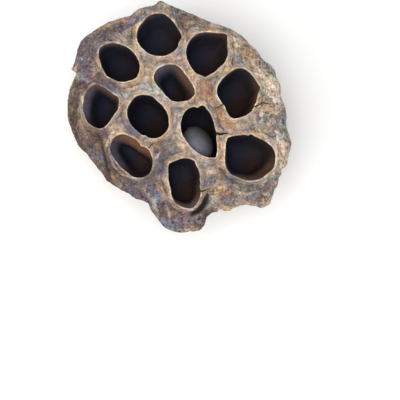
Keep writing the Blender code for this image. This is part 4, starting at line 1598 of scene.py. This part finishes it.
class Palette:
    """Builds one material's node tree round a Principled shader."""

    def __init__(self, name: str, **constants: float) -> None:
        """Starts a material.

        Args:
            name: the material's name.
            constants: shader values that are the same all over, with an underscore for each space.
        """
        self.made = bpy.data.materials.new(name)
        self.made.use_nodes = True
        self.tree = self.made.node_tree
        self.shader = self.tree.nodes["Principled BSDF"]
        for key, value in constants.items():
            self.shader.inputs[key.replace("_", " ")].default_value = value

    def node(self, kind: str, settings: dict, inputs: dict) -> bpy.types.Node:
        """Adds a node.

        Args:
            kind: the node's type.
            settings: its properties, set first.
            inputs: values, colours, sums or sockets for its sockets, by name or number.

        Returns:
            The new node.
        """
        made = self.tree.nodes.new(kind)
        for key, value in settings.items():
            setattr(made, key, value)
        for key, value in inputs.items():
            socket = made.inputs[key]
            if isinstance(value, Sum):
                self.tree.links.new(value.socket, socket)
            elif isinstance(value, bpy.types.NodeSocket):
                self.tree.links.new(value, socket)
            elif isinstance(value, tuple) and len(value) == 3 and socket.type == "RGBA":
                socket.default_value = (*value, 1.0)
            else:
                socket.default_value = value
        return made

    def place(self) -> bpy.types.NodeSocket:
        """Object coordinates."""
        return self.node("ShaderNodeTexCoord", {}, {}).outputs["Object"]

    def kept(self, name: str) -> Sum:
        """A value that the mesh keeps at its points."""
        return Sum(self, self.node("ShaderNodeAttribute", {"attribute_name": name}, {}).outputs["Fac"])

    def fibre(self) -> bpy.types.NodeSocket:
        """The mesh's fibre coordinates."""
        return self.node("ShaderNodeAttribute", {"attribute_name": "fibre"}, {}).outputs["Vector"]

    def noise(
        self, where: bpy.types.NodeSocket, scale: float, detail: float = 3.0, roughness: float = 0.6
    ) -> Sum:
        """Noise from 0 to 1, about even round a half.

        Args:
            where: the coordinates it is read at.
            scale: how many waves to one unit of them.
            detail: how many finer sizes are added.
            roughness: strength of each finer size as a share of the one before.

        Returns:
            The noise.
        """
        inputs = {"Vector": where, "Scale": scale, "Detail": detail, "Roughness": roughness}
        return Sum(self, self.node("ShaderNodeTexNoise", {"noise_dimensions": "3D"}, inputs).outputs["Fac"])

    def mixed(self, share: Link, under: object, over: object) -> bpy.types.NodeSocket:
        """Colour that goes from under to over as the share goes from 0 to 1."""
        settings = {"data_type": "RGBA", "blend_type": "MIX", "clamp_factor": True}
        return self.node("ShaderNodeMix", settings, {0: share, 6: under, 7: over}).outputs[2]

    def toned(self, colour: object, *tones: Link) -> bpy.types.NodeSocket:
        """Colour times a factor.

        Args:
            colour: the colour's socket.
            tones: one factor, or one each for red, green and blue.

        Returns:
            The changed colour.
        """
        factors = tones if len(tones) == 3 else tones * 3
        factor = self.node("ShaderNodeCombineXYZ", {}, dict(enumerate(factors))).outputs[0]
        node = self.node("ShaderNodeVectorMath", {"operation": "MULTIPLY"}, {0: colour, 1: factor})
        return node.outputs[0]

    def dress(
        self, colour: bpy.types.NodeSocket, roughness: Sum, height: Sum, strength: float, distance: float
    ) -> bpy.types.Material:
        """Feeds the shader's colour, roughness and bump.

        Args:
            colour: the base colour.
            roughness: from 0 to 1.
            height: the bump's height, from 0 to 1.
            strength: the bump's strength.
            distance: the bump's full height in metres.

        Returns:
            The finished material.
        """
        self.tree.links.new(colour, self.shader.inputs["Base Color"])
        self.tree.links.new(roughness.socket, self.shader.inputs["Roughness"])
        bump = self.node("ShaderNodeBump", {}, {"Strength": strength, "Distance": distance, "Height": height})
        self.tree.links.new(bump.outputs["Normal"], self.shader.inputs["Normal"])
        return self.made


@dataclass(frozen=True)
class Weave:
    """The noises that the cup's finish is mixed from, each from 0 to 1.

    Attributes:
        strands: broad fibres.
        fine_strands: fine fibres.
        mottle: small spots.
        specks: the finest spots.
        patches: broad spots.
    """

    strands: Sum
    fine_strands: Sum
    mottle: Sum
    specks: Sum
    patches: Sum


@dataclass(frozen=True)
class DryTissue:
    """Finish of the cup: dry, fibrous brown tissue, pale at the lips with a painted highlight, stained, with
    painted light on its crests and painted shade in its hollows, creases and cracks and down in the pits.
    """

    tan: Colour = (0.465, 0.362, 0.278)
    brown: Colour = (0.30, 0.222, 0.165)
    grey: Colour = (0.34, 0.285, 0.25)
    crest: Colour = (0.55, 0.45, 0.35)
    # crest is painted light on the crests of the relief and on the ridges; hollow is painted shade in the
    # relief's hollows and also darkens the hem ring; crease is near-black painted shade in the creases.
    hollow: Colour = (0.10, 0.073, 0.068)
    crease: Colour = (0.024, 0.017, 0.017)
    lip: Colour = (0.97, 0.85, 0.71)
    # Pale lip edge, partly its own colour and partly a painted highlight.
    collar: Colour = (0.50, 0.355, 0.24)
    umber: Colour = (0.36, 0.235, 0.145)
    # Dark brown walls darkened further with painted shade: blue-black with a painted sky reflection on one
    # side, brown-black with painted warm light on the other.
    shade_wall_skylit: Colour = (0.0190, 0.0215, 0.041)
    shade_wall_warmlit: Colour = (0.029, 0.0155, 0.0120)
    # Painted light of the band down a wall's lit side.
    lit_wall: Colour = (0.205, 0.098, 0.045)
    # Grey painted sky light on a wall's sky-facing side.
    sky_lit_wall: Colour = (0.142, 0.122, 0.142)
    side: Colour = (0.17, 0.115, 0.085)
    side_pale: Colour = (0.34, 0.25, 0.18)
    cut: Colour = (0.33, 0.25, 0.17)
    # Near-black painted shade inside the open cracks and the air ducts.
    split: Colour = (0.010, 0.007, 0.006)
    tints: tuple = (
        # Warm dark brown of the painted shade.
        (Tint.DUSK, (0.084, 0.055, 0.046)),
        (Tint.MAUVE, (0.150, 0.113, 0.127)),
        (Tint.OCHRE, (0.37, 0.225, 0.120)),
        (Tint.RUST, (0.25, 0.140, 0.105)),
        (Tint.BLOOM, (0.19, 0.198, 0.236)),
        (Tint.SLATE, (0.095, 0.095, 0.108)),
        (Tint.CREAM, (0.66, 0.54, 0.43)),
    )

    @staticmethod
    def weave(mix: Palette) -> Weave:
        """Makes the noises: along the fibres near the lips, more even in the skin between them.

        Args:
            mix: the palette.

        Returns:
            The noises.
        """
        place, fibre, loose = mix.place(), mix.fibre(), mix.kept("valley")
        strands = 0.5 + (mix.noise(fibre, 1.15, 4.0, 0.64) - 0.5) * (1.0 - 0.55 * loose)
        strands = strands + (mix.noise(place, 560.0, 4.0, 0.64) - 0.5) * loose * 0.85
        fine_strands = 0.5 + (mix.noise(fibre, 3.0, 3.0, 0.66) - 0.5) * (1.0 - 0.4 * loose)
        fine_strands = fine_strands + (mix.noise(place, 1500.0, 3.0, 0.66) - 0.5) * loose * 0.7
        mottle = mix.noise(place, 300.0, 5.0, 0.66)
        specks = mix.noise(place, 1300.0, 3.0, 0.66)
        return Weave(strands, fine_strands, mottle, specks, patches=mix.noise(place, 130.0, 4.0, 0.6))

    def stained(self, mix: Palette, weave: Weave) -> bpy.types.NodeSocket:
        """Colour of the mottled skin with its stains and its painted shade, whose edges the mottling and the
        strands break up.

        Args:
            mix: the palette.
            weave: its noises.

        Returns:
            The colour.
        """
        mottle, patches = weave.mottle, weave.patches
        colour = mix.mixed(mottle.stepped(0.38, 0.62), self.brown, self.tan)
        colour = mix.mixed(patches.stepped(0.42, 0.66) * 0.8, colour, self.grey)
        warm = mix.noise(mix.fibre(), 0.55, 3.0, 0.6)
        colour = mix.mixed(warm.stepped(0.5, 0.68) * 0.6, colour, self.umber)
        side = mix.mixed(patches.stepped(0.36, 0.66), self.side, self.side_pale)
        colour = mix.mixed(mix.kept("under"), colour, side)
        for tint, tone in self.tints:
            edge = mix.kept(tint.value) * (0.62 + 0.9 * mottle.stepped(0.36, 0.64))
            edge = edge - 0.3 * weave.strands + 0.08
            colour = mix.mixed(edge.stepped(0.1, 0.95) * 0.92, colour, tone)
        return colour

    def set_off(self, mix: Palette, weave: Weave, colour: bpy.types.NodeSocket) -> bpy.types.NodeSocket:
        """Sets off the painted shade of the hollows and creases, the painted light of the crests and ridges,
        and the collars, hems and lips.

        Args:
            mix: the palette.
            weave: its noises.
            colour: the stained skin's colour.

        Returns:
            The changed colour.
        """
        mottle, patches = weave.mottle, weave.patches
        # dim is low under the painted shade and the mauve stain, and holds back the lighter crests, collars
        # and lips there.
        dim = (1.0 - 0.68 * mix.kept(Tint.DUSK.value) - 0.5 * mix.kept(Tint.MAUVE.value)).clamped()
        # Painted shade in the hollows of the relief, deeper under the painted shade of the margins and the
        # mauve stain, and painted light on its crests.
        crest = mix.kept("crest") + 0.9 * (weave.strands - 0.5) + 0.5 * (weave.fine_strands - 0.5)
        dark = (0.5 - crest).stepped(0.03, 0.45) * (0.7 - 0.42 * dim)
        colour = mix.mixed(dark, colour, self.hollow)
        colour = mix.mixed((crest - 0.5).stepped(0.04, 0.5) * 0.5 * dim, colour, self.crest)
        collar = mix.kept("collar") * (0.45 + 0.55 * mottle.stepped(0.36, 0.62)) * dim * 0.8
        colour = mix.mixed(collar, colour, self.collar)
        # A darker ring round the foot of each collar.
        colour = mix.mixed(mix.kept("hem") * (0.1 + 0.6 * patches.stepped(0.4, 0.6)), colour, self.hollow)
        # Painted light on the ridges and painted shade in the creases.
        colour = mix.mixed(mix.kept("ridge").stepped(0.25, 0.8) * (0.3 + 0.6 * mottle), colour, self.crest)
        colour = mix.mixed(mix.kept("crease").stepped(0.2, 0.95) * 0.92, colour, self.crease)
        # The pale lip edge, partly a painted highlight, held back where dim is low.
        lip = (mix.kept("lip") * (0.5 + 0.5 * mottle.stepped(0.36, 0.6)) * (0.12 + 0.88 * dim)).clamped()
        return mix.mixed(lip, colour, self.lip)

    def toned(self, mix: Palette, weave: Weave, colour: bpy.types.NodeSocket) -> bpy.types.NodeSocket:
        """Adds the light and dark of the strands, veins and a shifting hue, colours the stub's cut, and
        paints shade into its air ducts.

        Args:
            mix: the palette.
            weave: its noises.
            colour: the skin's colour.

        Returns:
            The changed colour.
        """
        place, fibre = mix.place(), mix.fibre()
        veins = (1.0 - 20.0 * abs(mix.noise(fibre, 0.8, 2.5, 0.55) - 0.5)).clamped()
        veins = veins * weave.patches.stepped(0.35, 0.6)
        tone = 0.95 + 2.1 * (weave.strands - 0.5) + 1.9 * (weave.fine_strands - 0.5)
        tone = tone + 1.9 * (weave.specks - 0.5) + 1.0 * (weave.mottle - 0.5)
        tone = 1.0 + (tone - 1.0) * (0.72 + 0.36 * mix.kept("outer"))
        tone = tone - 0.3 * veins * (1.0 - 0.7 * mix.kept("collar"))
        warmer = 0.4 * (mix.noise(fibre, 0.8, 2.0) - 0.5) + 0.8 * (mix.noise(place, 170.0, 2.5) - 0.5)
        redder = 0.25 * (mix.noise(place, 160.0, 2.0) - 0.5)
        warmer = warmer * (1.0 - 0.6 * mix.kept("under"))
        redder = redder * (1.0 - 0.5 * mix.kept("under"))
        red, green, blue = 1.0 + warmer + redder, 1.0 + 0.2 * warmer - redder, 1.0 - 1.2 * warmer + redder
        colour = mix.toned(colour, tone * red, tone * green, tone * blue)
        colour = mix.mixed(mix.kept("scar") * 0.85, colour, mix.toned(self.constant(mix, self.cut), tone))
        # Painted shade in the air ducts.
        return mix.mixed(mix.kept("duct").stepped(0.3, 0.9), colour, self.split)

    def pit_wall(self, mix: Palette, weave: Weave) -> bpy.types.NodeSocket:
        """Colour of the pits' walls: dark brown with painted shade, painted warm light on one side and a
        painted blue sky reflection on the other, a painted lit band and painted sky light, painted shade
        lower down, and streaked.

        Args:
            mix: the palette.
            weave: its noises.

        Returns:
            The colour.
        """
        # Painted warm light on one side of the wall and a painted blue sky reflection on the other, over its
        # painted shade.
        wall = mix.mixed(mix.kept("warmth"), self.shade_wall_skylit, self.shade_wall_warmlit)
        # The painted sky light.
        sky_light = (mix.kept("wall_haze") * (0.5 + 0.8 * weave.strands)).clamped()
        # The band of painted light.
        light = (mix.kept("wall_light") * (0.5 + 0.9 * weave.strands)).clamped()
        wall = mix.mixed(light, mix.mixed(sky_light, wall, self.sky_lit_wall), self.lit_wall)
        # Painted shade darkens the lower half.
        return mix.toned(wall, (0.55 + 0.9 * weave.fine_strands) * (1.0 - mix.kept("murk")))

    def material(self) -> bpy.types.Material:
        """Builds the finish.

        Returns:
            Its material.
        """
        mix = Palette("dry_cup_tissue", Metallic=0.0, Specular_IOR_Level=0.22)
        weave = self.weave(mix)
        colour = self.set_off(mix, weave, self.stained(mix, weave))
        colour = self.toned(mix, weave, colour)
        # Below the lip the pits take the dark wall colour, which paints much of their shade.
        sunk = mix.kept("sunk") * 10.0
        colour = mix.mixed(sunk.stepped(0.02, 0.7), colour, self.pit_wall(mix, weave))
        # Painted shade in the open cracks.
        colour = mix.mixed(mix.kept("split").stepped(0.15, 0.75), colour, self.split)
        roughness = (0.72 + 0.3 * weave.mottle).clamped()
        height = weave.strands * 0.5 + weave.fine_strands * 0.5 + weave.specks * 0.35 + weave.mottle * 0.35
        return mix.dress(colour, roughness, height, 0.7, 0.0004)

    @staticmethod
    def constant(mix: Palette, colour: Colour) -> bpy.types.NodeSocket:
        """A plain colour as a socket, for toning."""
        return mix.mixed(0.0, colour, colour)


@dataclass(frozen=True)
class SeedCoat:
    """Finish of the seed: smooth blue-grey coat with faint clouds and hairlines, painted light on one side,
    painted shade on the other side and over the far end, and a dark heel.
    """

    base: Colour = (0.140, 0.145, 0.170)
    cloud: Colour = (0.107, 0.110, 0.128)
    # Pale blue painted light.
    dust: Colour = (0.27, 0.300, 0.41)
    # Near black: painted shade on the far end and one side, and the dark heel.
    brown: Colour = (0.035, 0.033, 0.034)

    def material(self) -> bpy.types.Material:
        """Builds the finish.

        Returns:
            Its material.
        """
        mix = Palette("seed_coat_grey", Metallic=0.0, Specular_IOR_Level=0.35)
        place, fibre = mix.place(), mix.fibre()
        clouds = mix.noise(place, 420.0, 4.0, 0.55)
        hair = mix.noise(fibre, 3.5, 4.0, 0.6)
        specks = mix.noise(place, 2600.0, 2.0, 0.5)
        colour = mix.mixed(clouds.stepped(0.35, 0.65), self.base, self.cloud)
        colour = mix.toned(colour, 0.8 + 0.25 * hair + 0.15 * specks)
        # Painted light on the lower-left side.
        colour = mix.mixed(mix.kept("dust") * 0.8, colour, self.dust)
        # Painted shade over the far end.
        colour = mix.mixed(mix.kept("end") * 0.8, colour, self.brown)
        colour = mix.mixed(mix.kept("heel") * 0.7, colour, self.brown)
        # Painted shade on the side away from the painted light.
        colour = mix.mixed(mix.kept("shade") * 0.85, colour, self.brown)
        roughness = (0.42 + 0.22 * clouds).clamped()
        return mix.dress(colour, roughness, hair * 0.5 + specks * 0.4 + clouds * 0.3, 0.25, 0.00012)


@dataclass(frozen=True)
class PaleFloor:
    """Finish of the floor: plain, matt and almost white."""

    tone: Colour = (0.95, 0.95, 0.94)

    def material(self) -> bpy.types.Material:
        """Builds the finish.

        Returns:
            Its material.
        """
        mix = Palette("pale_floor", Roughness=0.9)
        mix.shader.inputs["Base Color"].default_value = (*self.tone, 1.0)
        return mix.made


@dataclass(frozen=True)
class Lamp:
    """A square soft light, aimed at the pod.

    Attributes:
        name: its name.
        place: where it hangs, in metres.
        size: length of its side, in metres.
        power: in watts.
        colour: of its light.
    """

    name: str
    place: tuple
    size: float
    power: float
    colour: Colour

    def build(self, aim: Vector) -> None:
        """Hangs the light.

        Args:
            aim: the point that it is turned to, in metres.
        """
        light = bpy.data.lights.new(self.name, "AREA")
        light.shape = "SQUARE"
        light.size = self.size
        light.energy = self.power
        light.color = self.colour
        lamp = bpy.data.objects.new(self.name, light)
        lamp.location = self.place
        lamp.rotation_euler = (aim - Vector(self.place)).to_track_quat("-Z", "Y").to_euler()
        bpy.context.scene.collection.objects.link(lamp)


@dataclass(frozen=True)
class Studio:
    """Floor, lights and the camera that stands where the photograph was taken from.

    Attributes:
        aim: where the camera's axis meets the face, in millimetres.
        tilt: how far the camera leans to -X and to -Y, in degrees.
        distance: from the lens to the face, in millimetres.
        scale: millimetres of the face to one pixel of the frame.
        frame_width: width of the frame in pixels.
        floor_half: half the floor's side, in metres.
        floor_drop: how far the floor lies under the pod, in metres, so that the two don't flicker.
        lit_point: what the lamps are aimed at, in metres.
        lamps: the lights, in metres and watts.
    """

    aim: tuple = (7.62, -32.87, 43.0)
    tilt: tuple = (2.0, 4.0)
    distance: float = 420.0
    scale: float = 0.38
    frame_width: int = 400
    floor_half: float = 3.0
    floor_drop: float = 0.0003
    lit_point: tuple = (0.0, 0.0, 0.03)
    lamps: tuple = (
        Lamp("overhead", (-0.12, -0.16, 0.95), 0.7, 7.0, (1.0, 0.985, 0.965)),
        Lamp("window", (-0.65, -0.45, 0.6), 0.5, 2.4, (1.0, 0.97, 0.93)),
        Lamp("sky", (0.8, 0.5, 0.6), 0.6, 1.2, (0.86, 0.92, 1.0)),
    )

    def camera(self) -> bpy.types.Object:
        """Sets the camera by its axis, with the image's up as near to +Y as that allows.

        Returns:
            The camera.
        """
        slants = [math.tan(math.radians(angle)) for angle in self.tilt]
        forward = Vector((*slants, -1.0)).normalized()
        up = (Vector((0.0, 1.0, 0.0)) - forward * forward.y).normalized()
        right = forward.cross(up)
        aim = Vector(placed(np.array(self.aim)).tolist())
        lens = bpy.data.cameras.new("photo_view")
        lens.sensor_width = 36.0
        lens.lens = self.distance / self.scale * lens.sensor_width / self.frame_width
        lens.clip_start = 0.01
        camera = bpy.data.objects.new("photo_view", lens)
        turn = Matrix((right, up, -forward)).transposed().to_4x4()
        camera.matrix_world = Matrix.Translation(aim - forward * self.distance * MM) @ turn
        bpy.context.scene.collection.objects.link(camera)
        bpy.context.scene.camera = camera
        return camera

    def floor(self) -> bpy.types.Object:
        """Lays a wide flat sheet that the pod stands on.

        Returns:
            The sheet.
        """
        mesh = bpy.data.meshes.new("floor")
        signs = ((-1, -1), (1, -1), (1, 1), (-1, 1))
        corners = [(x * self.floor_half, y * self.floor_half, -self.floor_drop) for x, y in signs]
        mesh.from_pydata(corners, [], [(0, 1, 2, 3)])
        sheet = bpy.data.objects.new("floor", mesh)
        sheet.data.materials.append(PaleFloor().material())
        bpy.context.scene.collection.objects.link(sheet)
        return sheet

    def build(self) -> None:
        """Sets the camera, the floor, the lamps and an even pale surround."""
        self.camera()
        self.floor()
        for lamp in self.lamps:
            lamp.build(Vector(self.lit_point))
        scene = bpy.context.scene
        scene.view_settings.view_transform = "Standard"
        world = bpy.data.worlds.new("pale_room")
        world.use_nodes = True
        ground = world.node_tree.nodes["Background"]
        ground.inputs["Color"].default_value = (0.95, 0.97, 1.0, 1.0)
        ground.inputs["Strength"].default_value = 0.46
        scene.world = world


def main() -> None:
    """Builds the cup, the seed and the studio, and reports each."""
    logging.basicConfig(level=logging.INFO, format="%(name)s: %(message)s")
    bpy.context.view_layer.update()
    Studio().build()
    log.info("studio is set")
    for maker in (SeedCup(), LooseSeed()):
        piece = maker.build()
        log.info("%s: %.1f x %.1f x %.1f mm", piece.name, *(piece.dimensions / MM))


if __name__ == "__main__":
    main()
